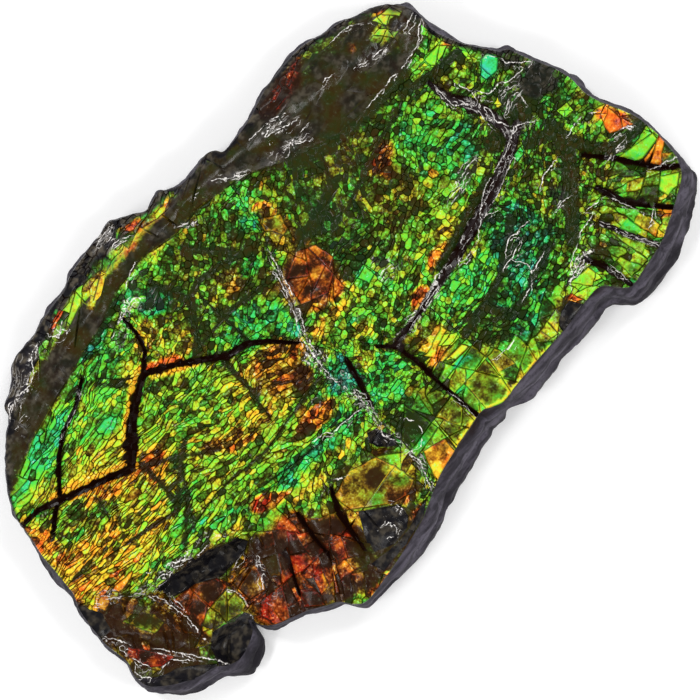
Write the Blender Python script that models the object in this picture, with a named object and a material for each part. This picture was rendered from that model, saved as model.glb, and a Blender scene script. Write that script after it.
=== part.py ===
"""Ammolite specimen: a hand-sized slab of dark rock whose upper face is the crushed, fossilised shell of an
ammonite.

The slab lies flat, with its long side along X and its shell face up. It is one piece of stone, so it is one
solid. Places are drawn in millimetres on a plan of the slab seen from above, x along its length and y across
it. Heights are millimetres above the surface that it rests on.
"""

import math

import bmesh
import bpy
import numpy as np
from mathutils import Vector, noise

# Driving dimensions, in metres
SLAB_LENGTH = 0.1225
FACE_HEIGHT = 0.0115

# The plan is drawn at this length, and its zero lies a little below the slab's middle, in millimetres
DRAWN_LENGTH = 122.5
DRAWN_MIDDLE = (-0.11, 0.56)

# The edge of the shell face, counterclockwise: x, y, and how far the rock below spreads out past it
FACE_EDGE = [
    (-56.4, 12.4, 0.9), (-56.8, 9.5, 0.9), (-57.4, 6.5, 1.0), (-57.7, 3.0, 1.2), (-58.0, 0.0, 1.2),
    (-58.3, -1.6, 1.0), (-59.3, -3.6, 0.8), (-60.0, -7.5, 0.7), (-60.2, -11.5, 0.7), (-59.9, -14.8, 0.8),
    (-60.6, -17.5, 0.9), (-60.3, -20.0, 1.0), (-58.6, -21.8, 1.3), (-56.0, -23.6, 1.6), (-53.0, -25.0, 1.5),
    (-50.6, -25.6, 1.5), (-49.0, -26.9, 1.6), (-46.8, -27.6, 1.8), (-44.4, -27.0, 1.8), (-42.4, -25.9, 1.6),
    (-41.4, -24.0, 1.2), (-40.6, -26.2, 1.0), (-38.6, -27.8, 0.8), (-36.0, -28.8, 0.8), (-33.5, -29.8, 0.8),
    (-31.0, -31.2, 0.8), (-28.9, -32.4, 0.8), (-27.6, -34.3, 0.9), (-25.8, -35.4, 1.0), (-22.5, -35.1, 1.2),
    (-18.5, -34.4, 1.6), (-14.0, -33.4, 2.0), (-10.0, -32.3, 2.3), (-6.5, -30.8, 2.5), (-3.0, -29.3, 2.8),
    (1.0, -28.3, 2.7), (5.0, -27.5, 2.5), (8.8, -26.8, 2.4), (10.6, -27.5, 1.8), (12.6, -28.2, 1.3),
    (16.0, -27.8, 2.0), (20.0, -27.4, 2.3), (24.0, -27.2, 2.0), (28.0, -26.9, 2.1), (32.0, -26.3, 2.3),
    (35.8, -26.0, 2.3), (37.4, -27.0, 2.6), (38.6, -28.6, 2.5), (40.4, -29.7, 2.0), (44.0, -29.0, 2.5),
    (48.0, -28.2, 2.5), (51.5, -26.7, 2.4), (55.0, -24.9, 2.2), (58.3, -22.9, 1.8), (59.8, -20.6, 1.2),
    (60.3, -17.0, 0.9), (60.2, -13.0, 0.9), (59.4, -9.5, 0.9), (57.8, -5.8, 0.9), (56.8, -2.5, 1.0),
    (56.8, 0.8, 1.0), (56.0, 4.0, 1.0), (54.6, 7.0, 1.0), (53.6, 9.8, 1.0), (53.0, 11.3, 1.0),
    (51.6, 12.2, 1.0), (50.2, 14.3, 1.0), (48.6, 16.8, 1.2), (47.6, 19.0, 1.6), (46.6, 22.0, 2.0),
    (46.6, 25.5, 1.8), (45.9, 27.8, 1.3), (44.4, 30.0, 1.0), (42.3, 31.4, 1.0), (39.8, 32.4, 1.0),
    (37.0, 33.6, 1.0), (34.0, 34.2, 1.0), (31.0, 35.1, 1.0), (28.0, 35.3, 1.0), (24.0, 34.9, 1.0),
    (20.0, 34.2, 1.0), (16.5, 32.9, 1.0), (12.5, 32.1, 1.0), (9.2, 31.9, 0.8), (8.2, 33.1, 0.8),
    (6.6, 33.7, 0.8), (3.5, 33.1, 0.9), (0.5, 33.0, 0.9), (-1.5, 33.9, 0.8), (-2.7, 34.8, 0.8),
    (-4.2, 34.5, 0.8), (-6.6, 34.1, 0.8), (-8.4, 35.3, 0.8), (-10.4, 36.3, 0.7), (-12.0, 37.1, 0.7),
    (-15.0, 36.6, 0.8), (-19.0, 36.1, 1.0), (-22.4, 35.5, 1.0), (-25.0, 34.4, 1.0), (-28.0, 34.0, 1.0),
    (-31.0, 33.4, 1.0), (-34.0, 32.6, 1.0), (-37.5, 32.3, 0.9), (-39.2, 31.8, 0.9), (-41.0, 30.1, 1.0),
    (-43.2, 28.6, 0.9), (-44.9, 27.8, 0.8), (-45.6, 25.8, 1.0), (-47.8, 24.2, 1.0), (-50.2, 21.9, 1.0),
    (-52.6, 19.2, 1.0), (-54.6, 16.6, 1.2), (-55.8, 14.4, 1.2),
]
CURVE_STEPS = 8  # points between two drawn ones

# The mesh runs in rings round a spine, from which every ring's places are measured outwards
SPINE_Y = -2.0
SPINE_ENDS = (-43.0, 37.0)
COLUMN_STEP = 0.6
FAN_STEPS = 120
FACE_RINGS = 52
TRIANGLES = 9400

# The side from the face's edge down: share of the spread, share of the height there, and roughness
SIDE_PROFILE = [
    (0.06, 0.965, 0.05), (0.38, 0.88, 0.25), (0.56, 0.76, 0.35), (0.66, 0.62, 0.45), (0.90, 0.54, 0.40),
    (0.96, 0.36, 0.45), (1.00, 0.20, 0.35), (0.86, 0.07, 0.20), (0.40, 0.00, 0.0),
]
SIDE_LUMP = 5.0  # the width of the lumps that roughen the side

# The shoulder: a smooth, raised band below the upper edge: x, y, its half width and its height
SHOULDER = [
    (-62.0, 17.0, 2.4, 0.3), (-50.0, 21.3, 2.4, 0.6), (-45.0, 23.7, 2.6, 0.9), (-38.0, 25.3, 2.4, 1.0),
    (-31.0, 27.0, 2.2, 1.0), (-24.0, 28.4, 2.0, 1.1), (-18.0, 30.2, 1.7, 1.2), (-12.0, 30.7, 1.6, 1.2),
    (-6.0, 29.8, 1.7, 1.2), (0.0, 30.3, 1.9, 1.1), (8.0, 29.9, 2.6, 1.1), (16.0, 28.2, 4.4, 1.3),
    (24.0, 26.9, 5.4, 1.5), (32.0, 26.3, 5.4, 1.5), (40.0, 26.4, 5.0, 1.4), (47.0, 27.0, 4.0, 1.0),
    (62.0, 24.0, 3.0, 0.4),
]
SHOULDER_FALL = (0.12, 0.030)  # how the face falls away past the shoulder, by the distance and its square

# The ledge where the upper shell layer ends, and the ribbed layer under it shows: x, y and the drop
LEDGE = [
    (-62.0, -1.0, 0.6), (-56.0, -3.6, 1.0), (-52.0, -6.6, 1.6), (-49.5, -9.4, 2.1), (-44.0, -10.4, 2.2),
    (-40.0, -11.1, 2.2), (-36.0, -12.2, 2.1), (-32.5, -13.8, 1.7), (-28.0, -15.2, 1.1), (-22.0, -17.0, 0.7),
    (-14.0, -18.4, 0.4), (-8.0, -18.6, 0.1), (0.0, -19.0, 0.0), (62.0, -19.0, 0.0),
]
LEDGE_RUN = 1.0  # how far the drop takes on the plan

# Hollows and swellings of the face: x, y, half length, half width, turn in degrees, height, edge softness
MOUNDS = {
    "trench_left": (-45.2, -12.2, 4.2, 1.5, -10.0, -1.3, 0.35),
    "trench_right": (-36.6, -14.4, 4.6, 1.7, -12.0, -1.4, 0.35),
    "lower_bench": (-44.6, -25.4, 4.6, 2.8, -8.0, -2.6, 0.45),
    "left_valley": (-53.6, -14.0, 2.6, 5.2, 14.0, -0.7, 0.8),
    "left_outer_valley": (-58.0, -17.6, 1.2, 4.6, 36.0, -0.6, 0.8),
    "round_pit": (-5.8, -18.5, 1.9, 1.3, 25.0, -1.9, 0.35),
    "dark_dome": (-15.2, -28.6, 3.6, 3.0, -28.0, 1.0, 0.7),
    "dome_foot": (-15.4, -33.0, 6.5, 1.2, 8.0, -0.6, 0.6),
    "corner_knob": (42.8, 27.0, 2.3, 1.8, 0.0, 0.7, 0.7),
    "corner_dent": (40.4, 28.4, 1.4, 1.0, 20.0, -0.5, 0.5),
    "edge_bare_rock": (31.6, -25.2, 4.2, 1.3, 8.0, -0.8, 0.5),
    "right_knoll": (42.6, -10.4, 2.8, 2.4, 0.0, 0.6, 0.8),
    "right_corner_dip": (58.6, -10.4, 1.2, 3.4, -18.0, -0.6, 0.6),
    "upper_right_chip": (52.6, 9.6, 1.7, 2.4, 38.0, -0.8, 0.5),
    "edge_chip_one": (-42.0, 29.6, 2.6, 1.6, 40.0, -0.7, 0.6),
    "edge_chip_two": (-3.6, 34.0, 3.2, 0.8, -4.0, -0.5, 0.6),
    "edge_chip_three": (-16.0, 35.4, 5.6, 0.9, 6.0, -0.5, 0.6),
}

# Plates of the upper layer that stand proud: their corners, and their height
PLATES = {
    "end_plate": ([(-57.0, 12.3), (-49.4, 11.0), (-46.5, 13.6), (-44.0, 16.1), (-40.5, 18.4), (-36.5, 19.8),
                   (-32.6, 22.3), (-36.0, 24.0), (-46.0, 22.4), (-52.0, 21.0), (-58.0, 17.0)], 0.55),
    "big_plate": ([(-49.4, 11.0), (-44.0, 9.1), (-40.0, 7.6), (-37.3, 6.4), (-34.6, 9.0), (-32.0, 11.6),
                   (-28.4, 14.0), (-25.3, 15.8), (-22.4, 18.2), (-21.4, 21.0), (-21.2, 24.6), (-27.0, 24.0),
                   (-32.6, 22.3), (-36.5, 19.8), (-40.5, 18.4), (-44.0, 16.1), (-46.5, 13.6)], 0.40),
}
PLATE_RUN = 0.5

# Cracks and grooves: their points, half width and depth
GROOVES = {
    "plate_gap_left": ([(-56.6, 12.4), (-52.5, 12.2), (-49.4, 11.0), (-44.0, 9.1), (-40.0, 7.6), (-37.3, 6.4)],
                       0.9, 0.7),
    "plate_gap_right": ([(-37.3, 6.4), (-34.6, 9.0), (-32.0, 11.6), (-28.4, 14.0), (-25.3, 15.8)], 1.1, 0.8),
    "plate_branch": ([(-49.4, 11.0), (-51.6, 9.6), (-53.6, 7.8), (-53.8, 5.2)], 0.7, 0.4),
    "plate_divide": ([(-48.6, 11.4), (-46.5, 13.6), (-44.0, 16.1), (-40.5, 18.4), (-36.5, 19.8), (-32.6, 22.3)],
                     0.7, 0.5),
    "upper_left_run": ([(-25.3, 15.8), (-22.4, 18.2), (-21.4, 21.0), (-21.2, 24.6)], 0.7, 0.4),
    "middle_run": ([(-25.3, 15.8), (-20.2, 13.0), (-16.2, 10.2), (-13.8, 8.3), (-10.0, 7.4), (-7.4, 5.4),
                    (-3.6, 1.2)], 0.8, 0.45),
    "pale_seam": ([(6.2, 27.8), (5.2, 23.0), (4.4, 18.6), (2.9, 15.4), (1.6, 12.2), (0.6, 9.0), (-0.9, 5.6),
                   (-2.6, 2.2), (-4.2, -1.6), (-4.4, -6.0), (-3.4, -12.0), (-3.9, -16.6)], 0.9, 0.45),
    "seam_foot": ([(-3.9, -16.6), (-3.5, -21.0), (-3.8, -24.6), (-4.8, -28.0), (-5.6, -31.0)], 1.0, 0.7),
    "seam_side": ([(-2.8, 0.0), (-0.2, -4.6), (-1.6, -9.4), (-3.0, -14.0)], 0.7, 0.4),
    "long_trough": ([(6.8, -9.4), (12.0, -8.7), (18.0, -7.5), (24.0, -6.2), (30.0, -4.6), (36.0, -2.7),
                     (41.0, -0.6), (45.4, 1.6)], 1.5, 0.9),
    "cross_trough": ([(40.2, 16.4), (40.6, 12.4), (42.2, 9.8), (43.2, 6.6), (43.6, 3.6), (43.4, 1.0)], 1.3, 0.7),
    "rib_line_one": ([(3.2, -5.6), (4.4, -7.6), (6.6, -10.0), (7.2, -14.0), (7.4, -20.0), (8.0, -26.9)], 0.9, 0.6),
    "rib_line_two": ([(14.8, -9.0), (15.3, -16.0), (15.6, -22.0), (14.4, -28.0)], 0.8, 0.4),
    "rib_line_three": ([(1.6, -20.0), (2.2, -24.0), (1.8, -28.2)], 0.8, 0.3),
    "fan_line_one": ([(38.0, -21.4), (39.4, -25.0), (40.3, -29.4)], 1.0, 0.7),
    "fan_line_two": ([(43.8, -19.0), (45.6, -23.5), (47.8, -28.0)], 1.0, 0.7),
    "fan_line_three": ([(47.4, -14.6), (49.0, -19.5), (51.5, -22.6), (53.6, -25.2)], 1.0, 0.7),
    "fan_line_four": ([(49.5, -9.2), (53.4, -14.2), (56.6, -19.2), (59.6, -21.6)], 1.0, 0.7),
    "fan_line_five": ([(51.6, -10.2), (55.6, -12.8), (60.0, -13.0)], 0.8, 0.5),
    "low_rib_one": ([(-39.8, -17.0), (-39.5, -20.0), (-40.6, -24.2)], 0.9, 0.5),
    "low_rib_two": ([(-33.4, -17.0), (-34.6, -20.2), (-37.0, -24.0)], 0.9, 0.5),
    "low_rib_three": ([(-28.8, -18.6), (-30.2, -22.4), (-32.6, -27.0), (-34.4, -30.0)], 0.9, 0.5),
    "low_rib_four": ([(-23.6, -17.6), (-24.4, -22.0), (-24.8, -26.0), (-28.4, -32.2)], 0.9, 0.5),
    "low_rib_five": ([(-17.0, -18.6), (-18.8, -22.0), (-19.5, -26.0), (-20.6, -30.0)], 0.9, 0.6),
}

# Crests: their points, half width and height
CRESTS = {
    "lobe_crest": ([(-54.6, -5.0), (-51.0, -8.2), (-49.2, -11.0), (-48.5, -15.0), (-48.6, -21.6)], 1.3, 1.5),
    "outer_crest": ([(-59.6, -10.4), (-57.4, -14.0), (-54.8, -18.0), (-52.2, -21.4), (-49.8, -24.8)], 1.3, 1.1),
    "low_swell_one": ([(-43.6, -16.6), (-43.8, -21.4)], 2.2, 0.6),
    "low_swell_two": ([(-36.6, -19.0), (-38.0, -25.0)], 1.8, 0.4),
    "low_swell_three": ([(-31.4, -19.0), (-33.8, -26.0)], 1.8, 0.4),
    "low_swell_four": ([(-26.4, -19.0), (-28.8, -29.0)], 1.8, 0.5),
    "low_swell_five": ([(-21.2, -19.6), (-22.4, -30.0)], 1.8, 0.5),
    "fan_swell_one": ([(41.6, -22.0), (43.8, -28.0)], 2.0, 0.5),
    "fan_swell_two": ([(46.4, -18.0), (50.4, -25.6)], 1.8, 0.5),
    "fan_swell_three": ([(50.4, -14.0), (56.2, -22.2)], 1.8, 0.5),
    "fan_swell_four": ([(53.6, -11.6), (58.8, -17.2)], 1.5, 0.4),
    "fan_swell_five": ([(54.0, -7.0), (58.0, -8.8)], 1.8, 0.5),
}

CROWN = 1.1  # how much lower the face lies at its long edges than along its middle
CROWN_HALF = 34.0
END_FALL = 1.5  # and at its two ends
END_HALF = 61.0
SWELL = 0.22  # slow undulation of the whole face
SWELL_LENGTHS = (31.0, 23.0)

SHELL_COLOUR = (0.10, 0.28, 0.05, 1.0)
ROCK_COLOUR = (0.045, 0.042, 0.050, 1.0)


def smooth_step(value):
    value = np.clip(value, 0.0, 1.0)
    return value * value * (3.0 - 2.0 * value)


def closed_curve(points):
    """A Catmull-Rom curve through the drawn points, as a closed run of closer ones."""
    points = np.array(points, float)
    before, after, later = np.roll(points, 1, 0), np.roll(points, -1, 0), np.roll(points, -2, 0)
    runs = []
    for step in range(CURVE_STEPS):
        t = step / CURVE_STEPS
        runs.append(0.5 * (2 * points + (after - before) * t
                           + (2 * before - 5 * points + 4 * after - later) * t ** 2
                           + (3 * points - before - 3 * after + later) * t ** 3))
    return np.stack(runs, 1).reshape(-1, points.shape[1])


def where_ray_leaves(curve, start, direction):
    """The farthest crossing of a ray with the curve, as the values interpolated along the curve there."""
    normal = np.array((-direction[1], direction[0]))
    side = (curve[:, :2] - start) @ normal
    following, next_side = np.roll(curve, -1, 0), np.roll(side, -1)
    crossing = np.nonzero((side <= 0) != (next_side <= 0))[0]
    share = (side[crossing] / (side[crossing] - next_side[crossing]))[:, None]
    found = curve[crossing] * (1 - share) + following[crossing] * share
    return found[np.argmax((found[:, :2] - start) @ direction)]


def stations():
    """For each place round the face: its point on the spine, the face's edge, and the rock's spread there."""
    curve = closed_curve(FACE_EDGE)
    low, high = SPINE_ENDS
    columns = np.linspace(low, high, round((high - low) / COLUMN_STEP) + 1)
    rays = [((x, SPINE_Y), -90.0) for x in columns]
    fan = np.arange(1, FAN_STEPS) * 180.0 / FAN_STEPS
    rays += [((high, SPINE_Y), -90.0 + turn) for turn in fan]
    rays += [((x, SPINE_Y), 90.0) for x in columns[::-1]]
    rays += [((low, SPINE_Y), 90.0 + turn) for turn in fan]
    starts = np.array([start for start, _ in rays])
    ways = np.array([(math.cos(math.radians(a)), math.sin(math.radians(a))) for _, a in rays])
    found = np.array([where_ray_leaves(curve, start, way) for start, way in zip(starts, ways)])
    return starts, found[:, :2], ways * found[:, 2:]


def distance_to(x, y, line):
    """The distance from each place to a line of points."""
    nearest = np.full(np.shape(x), 1e9)
    for (x0, y0), (x1, y1) in zip(line, line[1:]):
        along = ((x - x0) * (x1 - x0) + (y - y0) * (y1 - y0)) / ((x1 - x0) ** 2 + (y1 - y0) ** 2)
        along = np.clip(along, 0.0, 1.0)
        nearest = np.minimum(nearest, np.hypot(x - x0 - along * (x1 - x0), y - y0 - along * (y1 - y0)))
    return nearest


def depth_inside(x, y, corners):
    """How far each place lies inside a closed outline, and below zero outside it."""
    inside = np.zeros(np.shape(x), bool)
    for (x0, y0), (x1, y1) in zip(corners, corners[1:] + corners[:1]):
        if y0 != y1:
            inside ^= ((y0 > y) != (y1 > y)) & (x < x0 + (y - y0) * (x1 - x0) / (y1 - y0))
    distance = distance_to(x, y, corners + corners[:1])
    return np.where(inside, distance, -distance)


def shoulder_relief(x, y):
    """The raised band, and the face's fall beyond it to the upper edge."""
    at = np.array(SHOULDER).T
    centre, half, height = (np.interp(x, at[0], values) for values in at[1:])
    past = np.maximum(y - centre, 0.0)
    band = height * smooth_step(1.0 - np.abs(y - centre) / (half * 1.5))
    return band - SHOULDER_FALL[0] * past - SHOULDER_FALL[1] * past ** 2


def ledge_relief(x, y):
    at = np.array(LEDGE).T
    edge, drop = (np.interp(x, at[0], values) for values in at[1:])
    return -drop * smooth_step((edge - y) / LEDGE_RUN)


def mound_relief(x, y):
    total = np.zeros(np.shape(x))
    for centre_x, centre_y, long, wide, turn, height, softness in MOUNDS.values():
        c, s = math.cos(math.radians(turn)), math.sin(math.radians(turn))
        across = np.hypot(((x - centre_x) * c + (y - centre_y) * s) / long,
                          ((y - centre_y) * c - (x - centre_x) * s) / wide)
        total += height * smooth_step((1.0 + softness - across) / (2.0 * softness))
    return total


def line_relief(x, y):
    """Plates, crests and grooves, which all follow drawn lines."""
    total = np.zeros(np.shape(x))
    for corners, height in PLATES.values():
        total += height * smooth_step(0.5 + depth_inside(x, y, corners) / PLATE_RUN)
    for line, half, height in CRESTS.values():
        total += height * smooth_step(1.0 - distance_to(x, y, line) / (1.6 * half))
    groove = np.zeros(np.shape(x))
    for line, half, depth in GROOVES.values():
        groove = np.maximum(groove, depth * smooth_step(1.3 - distance_to(x, y, line) / half))
    return total - groove


def face_relief(x, y):
    """The height of the shell face above the surface that the slab rests on."""
    crown = CROWN * (y / CROWN_HALF) ** 2 + END_FALL * np.abs(x / END_HALF) ** 3
    swell = SWELL * np.sin(x * math.tau / SWELL_LENGTHS[0]) * np.cos(y * math.tau / SWELL_LENGTHS[1])
    relief = shoulder_relief(x, y) + ledge_relief(x, y) + mound_relief(x, y) + line_relief(x, y)
    return FACE_HEIGHT * 1000.0 - crown + swell + relief


def lump(place):
    return noise.noise(Vector(place) / SIDE_LUMP) + 0.5 * noise.noise(Vector(place) * 2.3 / SIDE_LUMP)


def extruded(bm, edges, station, points):
    """Extrudes a closed run of edges, and puts the new vertices at points, by station."""
    grown = bmesh.ops.extrude_edge_only(bm, edges=edges)["geom"]
    for vert in (part for part in grown if isinstance(part, bmesh.types.BMVert)):
        vert.co = points[vert[station]]
    made = {part for part in grown if isinstance(part, bmesh.types.BMVert)}
    return [edge for edge in (part for part in grown if isinstance(part, bmesh.types.BMEdge))
            if edge.verts[0] in made and edge.verts[1] in made]


def slab_mesh():
    starts, edge_points, spread = stations()
    bm = bmesh.new()
    station = bm.verts.layers.int.new("station")
    edge_heights = face_relief(edge_points[:, 0], edge_points[:, 1])
    rim = np.column_stack([edge_points, edge_heights])
    verts = [bm.verts.new(place) for place in rim]
    for index, vert in enumerate(verts):
        vert[station] = index
    rim_edges = [bm.edges.new((a, b)) for a, b in zip(verts, verts[1:] + verts[:1])]

    run = rim_edges
    for ring in range(1, FACE_RINGS + 1):
        plan = edge_points + (starts - edge_points) * ring / FACE_RINGS
        run = extruded(bm, run, station, np.column_stack([plan, face_relief(plan[:, 0], plan[:, 1])]))
    shell_faces = len(bm.faces)

    run = rim_edges
    for out, up, rough in SIDE_PROFILE:
        ring = np.column_stack([edge_points + spread * out, edge_heights * up])
        ways = spread / np.linalg.norm(spread, axis=1, keepdims=True)
        ring[:, :2] += ways * [[rough * lump(place)] for place in ring]
        run = extruded(bm, run, station, ring)
    bmesh.ops.contextual_create(bm, geom=run)
    bm.faces.ensure_lookup_table()
    for face in bm.faces[shell_faces:]:
        face.material_index = 1

    bmesh.ops.remove_doubles(bm, verts=bm.verts, dist=1e-4)
    bmesh.ops.recalc_face_normals(bm, faces=bm.faces)
    bmesh.ops.translate(bm, verts=bm.verts, vec=(-DRAWN_MIDDLE[0], -DRAWN_MIDDLE[1], 0.0))
    bmesh.ops.scale(bm, verts=bm.verts, vec=(SLAB_LENGTH / DRAWN_LENGTH,) * 3)
    mesh = bpy.data.meshes.new("ammolite_slab")
    bm.to_mesh(mesh)
    bm.free()
    return mesh


def material(name, colour, roughness):
    made = bpy.data.materials.new(name)
    made.use_nodes = True
    shader = made.node_tree.nodes["Principled BSDF"]
    shader.inputs["Base Color"].default_value = colour
    shader.inputs["Roughness"].default_value = roughness
    shader.inputs["Metallic"].default_value = 0.0
    return made


def main():
    for old in list(bpy.data.objects):
        bpy.data.objects.remove(old)
    collection = bpy.data.collections.new("ammolite_specimen")
    bpy.context.scene.collection.children.link(collection)
    mesh = slab_mesh()
    mesh.materials.append(material("shell_face", SHELL_COLOUR, 0.2))
    mesh.materials.append(material("dark_rock", ROCK_COLOUR, 0.6))
    slab = bpy.data.objects.new("ammolite_slab", mesh)
    collection.objects.link(slab)
    mesh.calc_loop_triangles()
    thinned = slab.modifiers.new("thinned", "DECIMATE")
    thinned.ratio = TRIANGLES / len(mesh.loop_triangles)


main()
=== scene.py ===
"""Looks for the ammolite slab: a crackled, iridescent shell face on a slab of dark rock.

The slab is drawn on a plan, in millimetres, as the CAD part is: x along it, y across it, and heights above
the surface that it rests on. The face starts as one flat outline. It is broken into tiles as the shell was,
by cuts that halve each piece until it is as small as the tiles are there. Each tile is then inset, tilted a
little and lifted to the relief that the CAD part has, and the rock below grows down from the face's rim.
"""

import math
import random

import bmesh
import bpy
import numpy as np
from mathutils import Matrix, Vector, noise


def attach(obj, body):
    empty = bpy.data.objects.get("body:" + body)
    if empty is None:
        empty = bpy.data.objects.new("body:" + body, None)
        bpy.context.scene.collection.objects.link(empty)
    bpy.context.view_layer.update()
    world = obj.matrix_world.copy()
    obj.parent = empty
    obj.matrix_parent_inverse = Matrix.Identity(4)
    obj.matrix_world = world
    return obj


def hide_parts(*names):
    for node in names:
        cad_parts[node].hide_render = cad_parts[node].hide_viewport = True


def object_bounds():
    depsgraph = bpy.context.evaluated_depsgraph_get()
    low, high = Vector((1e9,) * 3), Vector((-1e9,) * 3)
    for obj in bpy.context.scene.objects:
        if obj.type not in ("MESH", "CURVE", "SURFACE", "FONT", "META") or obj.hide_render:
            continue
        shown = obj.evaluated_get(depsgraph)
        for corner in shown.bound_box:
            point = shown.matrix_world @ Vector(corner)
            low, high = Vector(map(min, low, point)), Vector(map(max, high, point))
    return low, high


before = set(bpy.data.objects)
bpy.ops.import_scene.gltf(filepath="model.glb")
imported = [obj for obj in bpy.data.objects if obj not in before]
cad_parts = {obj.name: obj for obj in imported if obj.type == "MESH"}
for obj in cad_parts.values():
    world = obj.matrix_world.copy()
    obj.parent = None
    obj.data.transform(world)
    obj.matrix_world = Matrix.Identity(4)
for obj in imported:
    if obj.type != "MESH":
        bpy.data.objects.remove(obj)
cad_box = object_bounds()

NODE = "ammolite_slab"
MM = 0.001

# Shape, as in the CAD part

FACE_HEIGHT = 11.5
DRAWN_MIDDLE = (-0.11, 0.56)

# The edge of the shell face, counterclockwise: x, y, and how far the rock below spreads out past it
FACE_EDGE = [
    (-56.4, 12.4, 0.9), (-56.8, 9.5, 0.9), (-57.4, 6.5, 1.0), (-57.7, 3.0, 1.2), (-58.0, 0.0, 1.2),
    (-58.3, -1.6, 1.0), (-59.3, -3.6, 0.8), (-60.0, -7.5, 0.7), (-60.2, -11.5, 0.7), (-59.9, -14.8, 0.8),
    (-60.6, -17.5, 0.9), (-60.3, -20.0, 1.0), (-58.6, -21.8, 1.3), (-56.0, -23.6, 1.6), (-53.0, -25.0, 1.5),
    (-50.6, -25.6, 1.5), (-49.0, -26.9, 1.6), (-46.8, -27.6, 1.8), (-44.4, -27.0, 1.8), (-42.4, -25.9, 1.6),
    (-41.4, -24.0, 1.2), (-40.6, -26.2, 1.0), (-38.6, -27.8, 0.8), (-36.0, -28.8, 0.8), (-33.5, -29.8, 0.8),
    (-31.0, -31.2, 0.8), (-28.9, -32.4, 0.8), (-27.6, -34.3, 0.9), (-25.8, -35.4, 1.0), (-22.5, -35.1, 1.2),
    (-18.5, -34.4, 1.6), (-14.0, -33.4, 2.0), (-10.0, -32.3, 2.3), (-6.5, -30.8, 2.5), (-3.0, -29.3, 2.8),
    (1.0, -28.3, 2.7), (5.0, -27.5, 2.5), (8.8, -26.8, 2.4), (10.6, -27.5, 1.8), (12.6, -28.2, 1.3),
    (16.0, -27.8, 2.0), (20.0, -27.4, 2.3), (24.0, -27.2, 2.0), (28.0, -26.9, 2.1), (32.0, -26.3, 2.3),
    (35.8, -26.0, 2.3), (37.4, -27.0, 2.6), (38.6, -28.6, 2.5), (40.4, -29.7, 2.0), (44.0, -29.0, 2.5),
    (48.0, -28.2, 2.5), (51.5, -26.7, 2.4), (55.0, -24.9, 2.2), (58.3, -22.9, 1.8), (59.8, -20.6, 1.2),
    (60.3, -17.0, 0.9), (60.2, -13.0, 0.9), (59.4, -9.5, 0.9), (57.8, -5.8, 0.9), (56.8, -2.5, 1.0),
    (56.8, 0.8, 1.0), (56.0, 4.0, 1.0), (54.6, 7.0, 1.0), (53.6, 9.8, 1.0), (53.0, 11.3, 1.0),
    (51.6, 12.2, 1.0), (50.2, 14.3, 1.0), (48.6, 16.8, 1.2), (47.6, 19.0, 1.6), (46.6, 22.0, 2.0),
    (46.6, 25.5, 1.8), (45.9, 27.8, 1.3), (44.4, 30.0, 1.0), (42.3, 31.4, 1.0), (39.8, 32.4, 1.0),
    (37.0, 33.6, 1.0), (34.0, 34.2, 1.0), (31.0, 35.1, 1.0), (28.0, 35.3, 1.0), (24.0, 34.9, 1.0),
    (20.0, 34.2, 1.0), (16.5, 32.9, 1.0), (12.5, 32.1, 1.0), (9.2, 31.9, 0.8), (8.2, 33.1, 0.8),
    (6.6, 33.7, 0.8), (3.5, 33.1, 0.9), (0.5, 33.0, 0.9), (-1.5, 33.9, 0.8), (-2.7, 34.8, 0.8),
    (-4.2, 34.5, 0.8), (-6.6, 34.1, 0.8), (-8.4, 35.3, 0.8), (-10.4, 36.3, 0.7), (-12.0, 37.1, 0.7),
    (-15.0, 36.6, 0.8), (-19.0, 36.1, 1.0), (-22.4, 35.5, 1.0), (-25.0, 34.4, 1.0), (-28.0, 34.0, 1.0),
    (-31.0, 33.4, 1.0), (-34.0, 32.6, 1.0), (-37.5, 32.3, 0.9), (-39.2, 31.8, 0.9), (-41.0, 30.1, 1.0),
    (-43.2, 28.6, 0.9), (-44.9, 27.8, 0.8), (-45.6, 25.8, 1.0), (-47.8, 24.2, 1.0), (-50.2, 21.9, 1.0),
    (-52.6, 19.2, 1.0), (-54.6, 16.6, 1.2), (-55.8, 14.4, 1.2),
]
CURVE_STEPS = 8
SPINE_Y = -2.0
SPINE_ENDS = (-43.0, 37.0)

# The side from the face's edge down: share of the spread, share of the height there, and its roughness
SIDE_PROFILE = [
    (0.0, 1.0, 0.0), (0.06, 0.965, 0.05), (0.38, 0.88, 0.25), (0.56, 0.76, 0.35), (0.66, 0.62, 0.45),
    (0.90, 0.54, 0.40), (0.96, 0.36, 0.45), (1.00, 0.20, 0.35), (0.86, 0.07, 0.20), (0.40, 0.00, 0.0),
]
SIDE_LUMP = 5.0
# How much further the rock spreads than is drawn: where it is wide, and at each y of the plan
WIDE_SPREAD = 1.1
SPREAD_BY_Y = ((-12.0, 0.25), (-4.0, 0.0), (8.0, 0.0), (14.0, -0.6))

# The shoulder: a smooth, raised band below the upper edge: x, y, its half width and its height
SHOULDER = [
    (-62.0, 17.0, 2.4, 0.3), (-50.0, 21.3, 2.4, 0.6), (-45.0, 23.7, 2.6, 0.9), (-38.0, 25.3, 2.4, 1.0),
    (-31.0, 27.0, 2.2, 1.0), (-24.0, 28.4, 2.0, 1.1), (-18.0, 30.2, 1.7, 1.2), (-12.0, 30.7, 1.6, 1.2),
    (-6.0, 29.8, 1.7, 1.2), (0.0, 30.3, 1.9, 1.1), (8.0, 29.9, 2.6, 1.1), (16.0, 28.2, 4.4, 1.3),
    (24.0, 26.9, 5.4, 1.5), (32.0, 26.3, 5.4, 1.5), (40.0, 26.4, 5.0, 1.4), (47.0, 27.0, 4.0, 1.0),
    (62.0, 24.0, 3.0, 0.4),
]
SHOULDER_FALL = (0.12, 0.030)

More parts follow.
